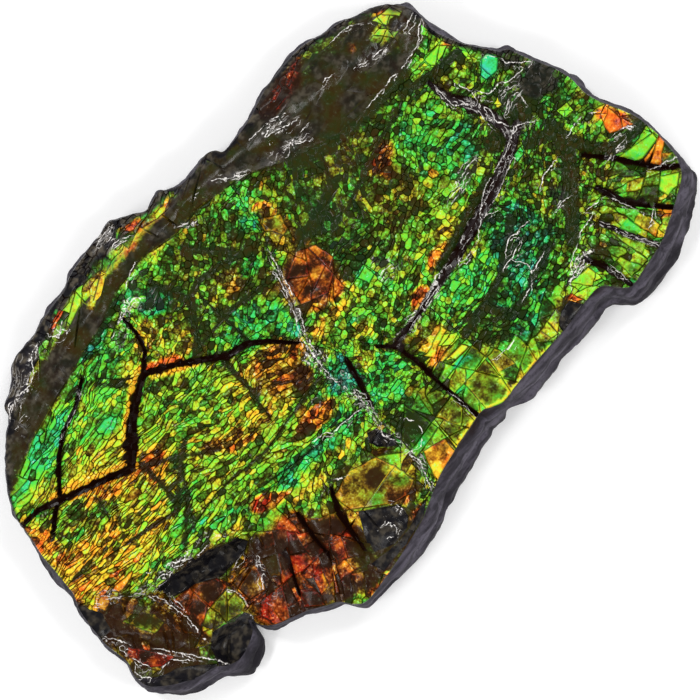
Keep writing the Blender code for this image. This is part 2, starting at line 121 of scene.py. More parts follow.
# The ledge where the upper shell layer ends, and the ribbed layer under it shows: x, y and the drop
LEDGE = [
    (-62.0, -1.0, 0.6), (-56.0, -3.6, 1.0), (-52.0, -6.6, 1.6), (-49.5, -9.4, 2.1), (-44.0, -10.4, 2.2),
    (-40.0, -11.1, 2.2), (-36.0, -12.2, 2.1), (-32.5, -13.8, 1.7), (-28.0, -15.2, 1.1), (-22.0, -17.0, 0.7),
    (-14.0, -18.4, 0.4), (-8.0, -18.6, 0.1), (0.0, -19.0, 0.0), (62.0, -19.0, 0.0),
]
LEDGE_RUN = 1.0

# Hollows and swellings of the face: x, y, half length, half width, turn in degrees, height, edge softness
MOUNDS = {
    "trench_left": (-45.2, -12.2, 4.2, 1.5, -10.0, -1.3, 0.35),
    "trench_right": (-36.6, -14.4, 4.6, 1.7, -12.0, -1.4, 0.35),
    "lower_bench": (-44.6, -25.4, 4.6, 2.8, -8.0, -2.6, 0.45),
    "left_valley": (-53.6, -14.0, 2.6, 5.2, 14.0, -0.7, 0.8),
    "left_outer_valley": (-58.0, -17.6, 1.2, 4.6, 36.0, -0.6, 0.8),
    "round_pit": (-5.8, -18.5, 1.9, 1.3, 25.0, -1.9, 0.35),
    "dark_dome": (-15.2, -28.6, 3.6, 3.0, -28.0, 1.0, 0.7),
    "dome_foot": (-15.4, -33.0, 6.5, 1.2, 8.0, -0.6, 0.6),
    "corner_knob": (42.8, 27.0, 2.3, 1.8, 0.0, 0.7, 0.7),
    "corner_dent": (40.4, 28.4, 1.4, 1.0, 20.0, -0.5, 0.5),
    "edge_bare_rock": (31.6, -25.2, 4.2, 1.3, 8.0, -0.8, 0.5),
    "right_knoll": (42.6, -10.4, 2.8, 2.4, 0.0, 0.6, 0.8),
    "right_corner_dip": (58.6, -10.4, 1.2, 3.4, -18.0, -0.6, 0.6),
    "upper_right_chip": (52.6, 9.6, 1.7, 2.4, 38.0, -0.8, 0.5),
    "edge_chip_one": (-42.0, 29.6, 2.6, 1.6, 40.0, -0.7, 0.6),
    "edge_chip_two": (-3.6, 34.0, 3.2, 0.8, -4.0, -0.5, 0.6),
    "edge_chip_three": (-16.0, 35.4, 5.6, 0.9, 6.0, -0.5, 0.6),
}

# Plates of the upper layer that stand proud: their corners, and their height
PLATES = {
    "end_plate": ([(-57.0, 12.3), (-49.4, 11.0), (-46.5, 13.6), (-44.0, 16.1), (-40.5, 18.4), (-36.5, 19.8),
                   (-32.6, 22.3), (-36.0, 24.0), (-46.0, 22.4), (-52.0, 21.0), (-58.0, 17.0)], 0.55),
    "big_plate": ([(-49.4, 11.0), (-44.0, 9.1), (-40.0, 7.6), (-37.3, 6.4), (-34.6, 9.0), (-32.0, 11.6),
                   (-28.4, 14.0), (-25.3, 15.8), (-22.4, 18.2), (-21.4, 21.0), (-21.2, 24.6), (-27.0, 24.0),
                   (-32.6, 22.3), (-36.5, 19.8), (-40.5, 18.4), (-44.0, 16.1), (-46.5, 13.6)], 0.40),
}
PLATE_RUN = 0.5

# Cracks and grooves: their points, half width and depth
GROOVES = {
    "plate_gap_left": ([(-56.6, 12.4), (-52.5, 12.2), (-49.4, 11.0), (-44.0, 9.1), (-40.0, 7.6),
                        (-37.3, 6.4)],
                       0.9, 0.7),
    "plate_gap_right": ([(-37.3, 6.4), (-34.6, 9.0), (-32.0, 11.6), (-28.4, 14.0), (-25.3, 15.8)], 1.1, 0.8),
    "plate_branch": ([(-49.4, 11.0), (-51.6, 9.6), (-53.6, 7.8), (-53.8, 5.2)], 0.7, 0.4),
    "plate_divide": ([(-48.6, 11.4), (-46.5, 13.6), (-44.0, 16.1), (-40.5, 18.4), (-36.5, 19.8),
                      (-32.6, 22.3)],
                     0.7, 0.5),
    "upper_left_run": ([(-25.3, 15.8), (-22.4, 18.2), (-21.4, 21.0), (-21.2, 24.6)], 0.7, 0.4),
    "middle_run": ([(-25.3, 15.8), (-20.2, 13.0), (-16.2, 10.2), (-13.8, 8.3), (-10.0, 7.4), (-7.4, 5.4),
                    (-3.6, 1.2)], 0.8, 0.45),
    "pale_seam": ([(6.2, 27.8), (5.2, 23.0), (4.4, 18.6), (2.9, 15.4), (1.6, 12.2), (0.6, 9.0), (-0.9, 5.6),
                   (-2.6, 2.2), (-4.2, -1.6), (-4.4, -6.0), (-3.4, -12.0), (-3.9, -16.6)], 0.9, 0.45),
    "seam_foot": ([(-3.9, -16.6), (-3.5, -21.0), (-3.8, -24.6), (-4.8, -28.0), (-5.6, -31.0)], 1.0, 0.7),
    "seam_side": ([(-2.8, 0.0), (-0.2, -4.6), (-1.6, -9.4), (-3.0, -14.0)], 0.7, 0.4),
    "long_trough": ([(6.8, -9.4), (12.0, -8.7), (18.0, -7.5), (24.0, -6.2), (30.0, -4.6), (36.0, -2.7),
                     (41.0, -0.6), (45.4, 1.6)], 1.5, 0.9),
    "cross_trough": ([(40.2, 16.4), (40.6, 12.4), (42.2, 9.8), (43.2, 6.6), (43.6, 3.6), (43.4, 1.0)],
                     1.3, 0.7),
    "rib_line_one": ([(3.2, -5.6), (4.4, -7.6), (6.6, -10.0), (7.2, -14.0), (7.4, -20.0), (8.0, -26.9)],
                     0.9, 0.6),
    "rib_line_two": ([(14.8, -9.0), (15.3, -16.0), (15.6, -22.0), (14.4, -28.0)], 0.8, 0.4),
    "rib_line_three": ([(1.6, -20.0), (2.2, -24.0), (1.8, -28.2)], 0.8, 0.3),
    "fan_line_one": ([(38.0, -21.4), (39.4, -25.0), (40.3, -29.4)], 1.0, 0.7),
    "fan_line_two": ([(43.8, -19.0), (45.6, -23.5), (47.8, -28.0)], 1.0, 0.7),
    "fan_line_three": ([(47.4, -14.6), (49.0, -19.5), (51.5, -22.6), (53.6, -25.2)], 1.0, 0.7),
    "fan_line_four": ([(49.5, -9.2), (53.4, -14.2), (56.6, -19.2), (59.6, -21.6)], 1.0, 0.7),
    "fan_line_five": ([(51.6, -10.2), (55.6, -12.8), (60.0, -13.0)], 0.8, 0.5),
    "low_rib_one": ([(-39.8, -17.0), (-39.5, -20.0), (-40.6, -24.2)], 0.9, 0.5),
    "low_rib_two": ([(-33.4, -17.0), (-34.6, -20.2), (-37.0, -24.0)], 0.9, 0.5),
    "low_rib_three": ([(-28.8, -18.6), (-30.2, -22.4), (-32.6, -27.0), (-34.4, -30.0)], 0.9, 0.5),
    "low_rib_four": ([(-23.6, -17.6), (-24.4, -22.0), (-24.8, -26.0), (-28.4, -32.2)], 0.9, 0.5),
    "low_rib_five": ([(-17.0, -18.6), (-18.8, -22.0), (-19.5, -26.0), (-20.6, -30.0)], 0.9, 0.6),
}

# Crests: their points, half width and height
CRESTS = {
    "lobe_crest": ([(-54.6, -5.0), (-51.0, -8.2), (-49.2, -11.0), (-48.5, -15.0), (-48.6, -21.6)], 1.3, 1.5),
    "outer_crest": ([(-59.6, -10.4), (-57.4, -14.0), (-54.8, -18.0), (-52.2, -21.4), (-49.8, -24.8)],
                    1.3, 1.1),
    "low_swell_one": ([(-43.6, -16.6), (-43.8, -21.4)], 2.2, 0.6),
    "low_swell_two": ([(-36.6, -19.0), (-38.0, -25.0)], 1.8, 0.4),
    "low_swell_three": ([(-31.4, -19.0), (-33.8, -26.0)], 1.8, 0.4),
    "low_swell_four": ([(-26.4, -19.0), (-28.8, -29.0)], 1.8, 0.5),
    "low_swell_five": ([(-21.2, -19.6), (-22.4, -30.0)], 1.8, 0.5),
    "fan_swell_one": ([(41.6, -22.0), (43.8, -28.0)], 2.0, 0.5),
    "fan_swell_two": ([(46.4, -18.0), (50.4, -25.6)], 1.8, 0.5),
    "fan_swell_three": ([(50.4, -14.0), (56.2, -22.2)], 1.8, 0.5),
    "fan_swell_four": ([(53.6, -11.6), (58.8, -17.2)], 1.5, 0.4),
    "fan_swell_five": ([(54.0, -7.0), (58.0, -8.8)], 1.8, 0.5),
}

# How far the shoulder, the crests and the grooves reach, in half widths
SHOULDER_EASE = 1.5
CREST_EASE = 1.6
GROOVE_EASE = 1.3

# The whole face falls off to its long edges and its ends, and swells in long waves
CROWN = 1.1
CROWN_HALF = 34.0
END_FALL = 1.5
END_HALF = 61.0
SWELL = 0.22
SWELL_LENGTHS = (31.0, 23.0)

# Tiles

# Waves that make painted edges uneven: their size, their reach, and a seed
RAGGED = ((6.0, 1.1, 101.0), (2.2, 0.5, 107.0))
RAGGED_SEEDS = (0.0, 40.0)  # added to it along and across the plan

# Thin cracks with no groove of their own
HAIR_CRACKS = {
    "dark_one": [(-12.0, 20.0), (-13.5, 24.0), (-14.5, 27.0)],
    "dark_two": [(-12.0, 19.0), (-8.0, 20.0), (-2.0, 19.0)],
    "dark_three": [(-6.5, 26.0), (-4.0, 22.5), (-1.0, 19.5)],
    "dark_four": [(-12.0, 18.5), (-14.0, 15.0), (-16.0, 12.5), (-9.0, 13.0), (-2.0, 12.3)],
    "dark_five": [(-14.5, 8.0), (-15.2, 0.0), (-15.7, -3.5)],
    "dark_six": [(-10.0, 18.0), (-9.5, 8.0)],
    "left_fork": [(-35.5, 6.5), (-35.8, -3.0)],
    "left_spur": [(-44.5, 7.0), (-45.5, 3.0)],
    "left_sweep": [(-36.0, -3.5), (-44.0, -2.0), (-57.0, 0.5)],
    "left_cross": [(-37.5, -7.0), (-34.0, -2.5)],
    "upper_sweep": [(16.0, 11.0), (20.0, 12.5), (24.0, 14.0), (28.0, 15.5), (33.0, 16.3), (36.0, 18.0)],
    "upper_bar": [(8.0, 13.0), (14.0, 14.2), (17.0, 14.8), (19.5, 20.0)],
    "low_sweep": [(-40.0, -7.8), (-30.0, -6.0), (-20.0, -6.8), (-11.0, -5.4), (-6.0, -4.6)],
    "mint_top": [(-24.0, -10.6), (-16.0, -11.8), (-8.0, -12.2), (-4.0, -12.8)],
    "right_rise": [(15.0, -14.6), (22.0, -15.0), (30.0, -12.0)],
    "right_rise_two": [(30.0, -17.6), (36.0, -15.8)],
    "short_left": [(-31.0, 20.6), (-28.4, 17.6), (-25.3, 15.8)],
}

# How the shell is broken, painted over in turn: x, y, half length, half width and turn of a soft oval; then
# the direction of the tiles there, their length, their width, and how open the cracks between them are
WHOLE_GRAIN = (15.0, 1.5, 1.1, 1.0)
GRAIN = {
    "left_field": (-38, 1, 23, 11, 0, 3, 2.3, 0.85, 1.0),
    "left_blades": (-42, 18, 15, 6.5, 12, 12, 2.3, 0.9, 0.9),
    "middle": (-20, -2, 12, 12, 0, -6, 1.7, 0.95, 1.0),
    "upper_middle": (-6, 19, 15, 9, 0, 40, 1.4, 1.15, 0.9),
    "upper_right": (17, 16, 10, 8, 0, 60, 1.6, 1.3, 0.6),
    "smoky": (4.5, 8, 5.0, 4.4, 0, 10, 3.4, 2.4, 0.3),
    "cobbles": (33, 10, 8, 7, 0, 25, 1.35, 1.1, 1.2),
    "teal_frost": (-2, -9, 5, 6, 0, 60, 1.2, 1.0, 0.9),
    "lower_right": (25, -14, 12, 8, 0, 20, 1.35, 1.0, 1.1),
    "dark_right": (44, -6, 8, 14, 0, 40, 1.1, 0.85, 0.9),
    "orange_ribs": (-29, -24, 12, 9, -20, 68, 4.6, 3.2, 0.7),
    "end_lobe": (-55, -15, 5, 11, 15, 58, 5.0, 2.6, 0.4),
    "end_facets": (-44, -18, 5, 4, 0, 80, 5.5, 5.0, 0.6),
    "end_rock": (-44.5, -25.2, 5.5, 3.4, -8, 10, 7.0, 5.0, 0.1),
    "olive_facets": (-11, -23, 7, 5, 0, 75, 4.2, 3.0, 0.7),
    "dome": (-15.3, -28.6, 4.6, 4.0, -28, 10, 8.0, 8.0, 0.05),
    "foot_plates": (1.5, -24, 6, 6, 0, 88, 6.5, 4.8, 0.8),
    "rib_plates": (11.5, -20, 4, 9, 0, 20, 4.2, 2.3, 0.9),
    "foot_plates_two": (17, -25.5, 8, 3.6, 0, 80, 4.6, 3.0, 0.8),
    "foot_plates_three": (29, -25, 6, 3, 0, 70, 3.2, 2.6, 0.8),
    "fan_left": (42, -25, 5, 5, 0, -84, 3.0, 1.9, 1.0),
    "fan_middle": (49, -22, 4, 7, 25, -62, 3.2, 1.9, 1.0),
    "fan_right": (56, -18, 5, 5, -30, -38, 3.4, 2.2, 1.0),
    "fan_top": (57, -9, 3, 4, 0, -14, 3.6, 2.4, 0.9),
}
SHOULDER_GRAIN = (8.0, 6.0, 5.0, 0.05)
DARK_GRAIN = (10.0, 9.0, 9.0, 0.05)
BRIGHT_GRAIN = (10.0, 9.0, 9.0, 0.6)
EDGE_GRAIN = {
    "outer_bench": (-14, 32.9, 24, 1.9, 3, 15, 2.4, 1.3, 0.7),
    "corner": (40.6, 28.0, 5.6, 4, -10, 10, 2.6, 1.7, 0.6),
    "corner_red": (22, 32.6, 7, 1.8, 8, 10, 3.2, 1.6, 0.5),
    "corner_low": (34, 30.4, 6, 3, -8, 10, 3.4, 2.4, 0.3),
}

# Colours of the shell, painted over in turn: x, y, half length, half width and turn of a soft oval; then the
# film's colour, from 0 for red through gold and green to 1 for blue green, and how strongly it shines
WHOLE_COLOUR = (0.56, 0.62)
COLOURS = {
    "upper_field": (6, 18, 27, 10, 0, 0.54, 0.43),
    "left_field": (-38, 2, 22, 10, 0, 0.43, 1.15),
    "left_gold": (-51, -1.5, 8, 5, 0, 0.33, 1.25),
    "left_gold_two": (-43, -3, 6, 1.6, -5, 0.37, 1.25),
    "green_pool": (-48, 6, 5, 3.4, -10, 0.53, 0.62),
    "left_margin": (-56, 6, 2.2, 7, 0, 0.28, 1.0),
    "under_gap": (-41, 6.5, 6, 1.6, -10, 0.27, 1.0),
    "fork_brown": (-34, 3.5, 3.4, 3, 0, 0.22, 0.85),
    "low_left_lime": (-40, 0, 6, 2, 0, 0.46, 1.15),
    "low_left_green": (-34, -7, 8, 3, -5, 0.60, 1.1),
    "middle_rows": (-27, -2, 9, 6, 0, 0.50, 0.92),
    "middle_green": (-23, 7, 9, 5, -20, 0.56, 0.85),
    "brown_rows": (-22, -2, 5, 1.8, -18, 0.25, 0.7),
    "mint_row": (-15, -12.2, 11, 1.9, -3, 0.74, 1.0),
    "lime_row": (-12, -16.3, 7, 1.5, 2, 0.54, 1.0),
    "gold_row": (-20, -15.4, 4, 1.6, -14, 0.42, 1.0),
    "blade_green": (-46, 17, 11, 4.5, 14, 0.66, 1.3),
    "blade_teal": (-44.5, 18.8, 7, 2.0, 13, 0.80, 1.5),
    "blade_lime": (-51, 13.4, 5.5, 1.6, -8, 0.49, 1.1),
    "plate_green": (-36, 15, 10, 5, 30, 0.58, 1.15),
    "plate_lime": (-40, 11.5, 7, 2.4, -12, 0.47, 1.1),
    "plate_mint": (-34.5, 14.2, 2.4, 1.8, 0, 0.70, 1.15),
    "plate_top": (-27, 20.6, 6, 2.8, 15, 0.67, 1.1),
    "plate_corner": (-25.5, 17.6, 2.8, 1.5, 45, 0.47, 1.0),
    "corner_gold": (-20.6, 19.6, 2.6, 2.2, 0, 0.33, 0.9),
    "corner_under": (-18, 16, 4, 2.6, -20, 0.42, 0.75),
    "top_teal": (-25, 26, 7, 1.5, 14, 0.78, 0.45),
    "top_green": (-13, 27.6, 5.5, 1.6, 18, 0.66, 0.85),
    "top_lime": (-8.6, 28.2, 3.4, 1.0, 4, 0.52, 1.0),
    "frost_blue": (-16, 22.4, 2.6, 2.4, 0, 0.84, 0.5),
    "top_middle": (-6, 24, 6, 3, 0, 0.53, 0.50),
    "crown_green": (5.5, 25.5, 2.8, 3, 0, 0.63, 0.95),
    "crown_teal": (2.8, 20.6, 2.2, 1.6, 0, 0.76, 0.85),
    "seam_gold": (6.2, 16.6, 1.8, 5, -8, 0.37, 0.6),
    "seam_orange": (6.0, 21, 1.0, 1.4, 0, 0.20, 0.95),
    "middle_brown": (-5, 16.4, 4.5, 2.2, 0, 0.34, 0.5),
    "middle_olive": (-8.6, 16.6, 2, 2.2, 0, 0.50, 0.85),
    "middle_emerald": (-1, 16.5, 2.4, 1.4, 0, 0.76, 0.8),
    "emerald_patch": (-8.5, 9.5, 4.6, 3.6, 0, 0.74, 0.85),
    "emerald_low": (-3.4, 6.2, 2.2, 3.2, 0, 0.76, 0.95),
    "centre_brown": (-10, 1.6, 6, 4, -12, 0.25, 0.6),
    "centre_gold": (-14.5, -2.6, 6, 1.7, -4, 0.35, 0.85),
    "centre_lime": (-19, 3.4, 5, 3.4, 0, 0.50, 0.95),
    "brown_wedge": (-7.4, -2.6, 2.6, 1.6, 40, 0.14, 0.25),
    "low_middle": (-17, -7, 6, 2.8, 0, 0.54, 0.8),
    "rust_spots": (-10.4, -8.6, 4.6, 1.7, -5, 0.14, 0.6),
    "smoky_orange": (4.6, 8.0, 5.4, 4.4, 0, 0.17, 0.42),
    "smoky_low": (4.0, 4.6, 3.6, 1.2, 0, 0.18, 0.85),
    "yellow_bar": (1.8, 1.0, 4.6, 1.5, 0, 0.39, 1.0),
    "emerald_pair": (11.0, 1.4, 2.2, 2.2, 0, 0.72, 1.0),
    "green_rows": (11, -3.4, 12, 3.4, 2, 0.60, 0.88),
    "gold_spot": (5, -4, 2.4, 1.0, 0, 0.40, 1.0),
    "dark_green": (13.5, 12, 5, 7, 0, 0.59, 0.30),
    "olive_upper": (22, 17.6, 7, 3, -10, 0.47, 0.30),
    "olive_right": (23, 7.6, 5, 5.5, 20, 0.44, 0.38),
    "rust_upper": (26.5, 12.6, 3.2, 1.4, 10, 0.17, 0.4),
    "cobble_green": (34, 11, 6, 5.4, 0, 0.67, 0.74),
    "cobble_low": (36, 5.4, 4.4, 3, 25, 0.72, 0.68),
    "bright_rows": (24, 0.4, 9, 2.8, 4, 0.56, 0.84),
    "lime_tiles": (27, -2.3, 3, 1.1, 8, 0.50, 1.0),
    "trough_orange": (21.6, -4.2, 3, 0.9, 8, 0.20, 1.0),
    "trough_rust": (14.5, -7, 2.6, 0.9, 4, 0.13, 0.95),
    "low_green": (22, -11, 8.5, 3.8, 0, 0.67, 1.0),
    "low_teal": (33, -11.5, 5.4, 6.4, 0, 0.82, 0.50),
    "low_emerald": (25, -19, 6, 4.4, 0, 0.74, 0.72),
    "low_dark": (19, -18.6, 3.4, 2.2, 0, 0.62, 0.25),
    "right_dark": (44, -9, 6, 9, 0, 0.54, 0.42),
    "right_olive": (49, -15, 3.6, 6, -20, 0.50, 0.55),
    "right_top_dark": (49.5, 3.4, 7, 5.5, 0, 0.60, 0.24),
    "right_scatter": (50.5, -0.4, 5, 2.4, 0, 0.64, 0.5),
    "corner_pieces": (44, 14.6, 4, 3, 0, 0.55, 0.5),
    "turquoise": (48.8, 11.4, 2.1, 1.7, 40, 0.93, 1.0),
    "lime_piece": (44.6, 18.8, 2.8, 1.0, 2, 0.58, 1.0),
    "lime_piece_tip": (46.8, 18.9, 0.8, 0.7, 0, 0.25, 1.0),
    "small_green": (45.7, 23.0, 0.8, 1.3, -20, 0.62, 1.0),
    "edge_green": (48.0, 15.6, 0.8, 1.7, 0, 0.56, 1.0),
    "lime_upright": (45.1, 14.6, 0.9, 1.7, 0, 0.50, 1.0),
    "fan_orange": (56.8, -8.4, 1.9, 2.6, 15, 0.15, 1.0),
    "fan_green": (56.2, -14.2, 3.7, 1.4, -4, 0.58, 1.0),
    "fan_gold": (57.6, -17.6, 2.4, 1.4, -35, 0.23, 1.0),
    "fan_lime": (56.2, -21.6, 2.6, 1.3, 25, 0.55, 1.0),
    "fan_mid_green": (50.5, -20.0, 2.6, 2.8, 0, 0.57, 0.75),
    "fan_bright": (47.0, -22.8, 1.7, 2.8, 25, 0.60, 1.0),
    "fan_foot": (43.6, -26.2, 3.2, 1.9, 8, 0.55, 1.0),
    "fan_yellow": (49.2, -26.2, 1.6, 0.9, 25, 0.42, 1.0),
    "fan_rust": (52.4, -24.4, 1.3, 1.0, 25, 0.09, 0.9),
    "fan_dark": (40.6, -21.4, 1.8, 1.4, 0, 0.45, 0.15),
    "foot_green": (35.6, -24.0, 2.3, 1.4, 0, 0.55, 1.0),
    "foot_rust": (32.4, -24.4, 0.7, 1.4, 18, 0.13, 1.0),
    "foot_orange": (-0.4, -27.2, 3.4, 1.5, 12, 0.25, 1.0),
    "foot_olive": (4.8, -23.8, 2.8, 3.8, 0, 0.46, 0.58),
    "foot_left_green": (0.6, -19, 2.8, 4.4, 15, 0.60, 0.45),
    "rib_gold": (11.4, -13.4, 3.2, 3.0, 0, 0.40, 0.95),
    "rib_orange": (9.8, -15.2, 1.9, 0.9, 0, 0.18, 1.0),
    "rib_lime": (11.6, -17.6, 3.2, 1.1, -8, 0.50, 1.0),
    "rib_teal": (12.0, -18.9, 1.7, 0.6, -25, 0.90, 1.0),
    "rib_green": (11.5, -21.2, 3.2, 1.6, 0, 0.62, 0.95),
    "rib_foot": (11.6, -25.0, 3.0, 2.4, 0, 0.48, 0.6),
    "foot_right": (19, -25, 4, 2.2, 0, 0.50, 0.60),
    "foot_gold": (25.6, -25.2, 1.6, 2.0, 0, 0.42, 0.85),
    "foot_bare": (30, -25.2, 2.4, 2, 0, 0.40, 0.05),
    "seam_teal": (-3, -7.6, 3.2, 2.8, 0, 0.86, 0.8),
    "seam_lime": (1.6, -7.6, 2.4, 1.8, 10, 0.54, 0.95),
    "seam_green": (2, -12.4, 4, 3.2, 0, 0.74, 0.9),
    "olive_facets": (-12, -21.4, 6.4, 4.2, -10, 0.47, 0.60),
    "olive_dark": (-10.8, -22.6, 2.4, 1.6, -20, 0.30, 0.1),
    "olive_bright": (-5.8, -23.6, 1.2, 2.6, 0, 0.47, 1.0),
    "olive_foot": (-9.4, -26.6, 3.2, 1.3, -20, 0.24, 0.5),
    "rust_patch": (-25.4, -13.3, 2.7, 1.2, -8, 0.08, 1.0),
    "edge_gold": (-33.0, -11.5, 3.2, 0.9, -8, 0.43, 1.0),
    "rib_field": (-29, -24.5, 12, 7.5, -14, 0.03, 0.28),
    "rib_dark": (-31, -20.4, 8, 4, -8, 0.05, 0.10),
    "rib_block": (-25.6, -18.2, 2.4, 2.2, 0, 0.06, 0.9),
    "rib_brown": (-37.4, -19.2, 2.2, 2.6, 0, 0.14, 0.5),
    "rib_pink": (-37.2, -25.2, 3.0, 1.9, -30, 0.04, 0.85),
    "rib_red": (-31.4, -26, 4.4, 3.4, -20, 0.01, 0.55),
    "rib_red_two": (-29.4, -23.2, 1.6, 1.4, 40, 0.06, 0.9),
    "rib_low_gold": (-27.6, -29.6, 2.4, 1.6, 50, 0.22, 0.7),
    "rib_low_orange": (-22.2, -28.2, 2.0, 3.2, -25, 0.08, 0.8),
    "rib_last_gold": (-18.4, -24.6, 1.0, 2.6, 12, 0.29, 0.85),
    "dome_rim": (-15, -30.6, 8, 3.2, -4, 0.34, 0.06),
    "dome_rust": (-9.6, -30.6, 2.0, 0.6, 20, 0.05, 0.6),
    "foot_strip_dark": (-22, -32.4, 7, 1.0, 5, 0.10, 0.03),
    "foot_strip": (-21.5, -34.5, 3.8, 0.7, 4, 0.07, 1.0),
    "end_orange": (-43.6, -15.6, 4.2, 1.7, -20, 0.11, 0.6),
    "end_rust": (-47.8, -15.2, 0.6, 2.8, 0, 0.08, 0.95),
    "end_olive": (-43.4, -19.8, 3.8, 1.9, 0, 0.43, 0.5),
    "end_lobe": (-54.6, -14, 5, 8.5, 15, 0.17, 0.10),
    "end_yellow": (-54.4, -11.8, 1.5, 2.2, 20, 0.40, 0.45),
    "lobe_side": (-48.9, -16.6, 1.4, 7.4, 0, 0.12, 0.12),
    "lobe_foot": (-47.6, -22.8, 2.6, 2.0, 0, 0.30, 0.08),
    "lobe_end": (-60.2, -17.8, 1.8, 3.0, 0, 0.30, 0.04),
    "end_red": (-56.6, -16.4, 1.4, 3.6, 35, 0.01, 0.9),
    "end_black": (-55, -22.4, 4.4, 1.5, -28, 0.30, 0.02),
    "end_side": (-58.8, -8, 1.3, 7, 0, 0.10, 0.06),
    "deep_gap": (-40.2, -13.0, 8.4, 2.0, -14, 0.30, 0.0),
}
SHOULDER_COLOUR = (0.38, 0.05)
EDGE_COLOURS = {
    "bench_gold": (-14, 31.9, 9.6, 0.9, 5, 0.38, 1.0),
    "bench_gold_left": (-21.4, 30.2, 3, 0.8, 28, 0.36, 1.0),
    "bench_green": (-16.4, 32.4, 1.8, 0.7, 0, 0.66, 0.95),
    "bench_rust": (-12.6, 31.7, 1.4, 0.5, 5, 0.10, 1.0),
    "bench_streak": (-26.2, 31.3, 3.6, 0.9, 28, 0.56, 1.0),
    "bench_red": (-29.8, 31.8, 1.7, 0.6, 22, 0.07, 0.9),
    "bench_pink": (-9.4, 34.2, 2.2, 1.3, -25, 0.17, 0.75),
    "bench_right": (-4.6, 32.4, 2.2, 1.1, 0, 0.36, 0.95),
    "corner_red": (22.6, 32.4, 5.6, 2.0, 8, -0.08, 0.30),
    "corner_olive": (33, 31.6, 4.6, 2.2, -8, 0.50, 0.25),
    "corner_rust": (35.2, 29, 1.0, 1.2, 0, 0.10, 0.45),
    "corner_glints": (37, 24.2, 6.5, 1.6, 8, 0.43, 0.15),
    "corner_lime": (40.6, 27.6, 1.5, 2.0, 25, 0.48, 1.0),
    "corner_lime_two": (43.4, 28.8, 2.0, 0.7, -20, 0.47, 1.0),
    "corner_orange": (43.2, 29.9, 1.9, 0.4, -18, 0.22, 1.0),
}

# Where rock shows with no shell on it: soft ovals, with x, y, half length, half width, turn, and how bare
BARE_ROCK = {
    "right_smooth": (53.2, 4.6, 2.6, 3.4, 25, 0.75),
    "right_chip": (52.4, 10.0, 1.4, 1.8, 30, 0.8),
    "knob": (43.0, 26.7, 1.2, 1.0, 0, 0.9),
    "knoll": (42.4, -10.8, 1.6, 1.2, 0, 0.6),
    "top_bare": (1, 32.4, 3.4, 0.8, 0, 0.6),
}
# Facets of bare dark rock with sharp edges: their corners
DARK_FACETS = {
    "trench": [(-48.4, -10.0), (-45.5, -10.1), (-42.8, -10.7), (-39.8, -11.3), (-37.8, -11.5), (-36.0, -12.6),
               (-33.0, -13.4), (-32.4, -15.0), (-34.4, -16.0), (-36.5, -15.9), (-38.9, -16.0),
               (-41.2, -15.4), (-44.3, -13.9), (-47.3, -13.0)],
    "end_rock": [(-48.8, -22.8), (-46.8, -21.4), (-44.6, -21.8), (-43.4, -22.6), (-41.0, -22.7),
                 (-40.4, -24.2),
                 (-41.6, -25.6), (-43.0, -28.0), (-47.0, -29.0), (-50.6, -27.6), (-49.6, -25.2)],
    "end_edge": [(-61.6, -17.0), (-59.4, -19.2), (-57.4, -20.6), (-55.0, -21.4), (-52.4, -23.2),
                 (-49.9, -25.5),
                 (-51.6, -27.4), (-57.0, -25.4), (-61.2, -22.0)],
    "end_side": [(-61.2, -2.6), (-58.8, -3.2), (-57.2, -6.6), (-58.0, -9.4), (-61.2, -10.0)],
    "dome": [(-16.4, -24.2), (-10.9, -28.2), (-11.3, -30.2), (-12.8, -31.6), (-16.0, -32.0), (-19.2, -30.6),
             (-18.4, -27.6), (-17.2, -25.4)],
    "dome_foot": [(-21.0, -31.6), (-16.0, -32.2), (-12.6, -31.9), (-9.6, -30.9), (-7.4, -30.4), (-9.4, -32.0),
                  (-14.0, -33.2), (-20.4, -33.9)],
    "round_pit": [(-7.5, -17.6), (-6.6, -16.4), (-4.9, -16.8), (-4.2, -19.0), (-4.4, -21.2), (-5.8, -20.2),
                  (-7.1, -19.0)],
    "foot_bare": [(27.4, -25.8), (29.4, -24.4), (31.4, -24.2), (32.4, -26.0), (33.4, -27.4), (27.0, -28.2)],
    "upper_chip": [(-46.4, 25.6), (-44.8, 28.8), (-40.0, 32.2), (-35.0, 33.4), (-33.6, 31.4), (-35.4, 29.4),
                   (-38.0, 28.6), (-41.0, 27.0), (-44.0, 26.2)],
}

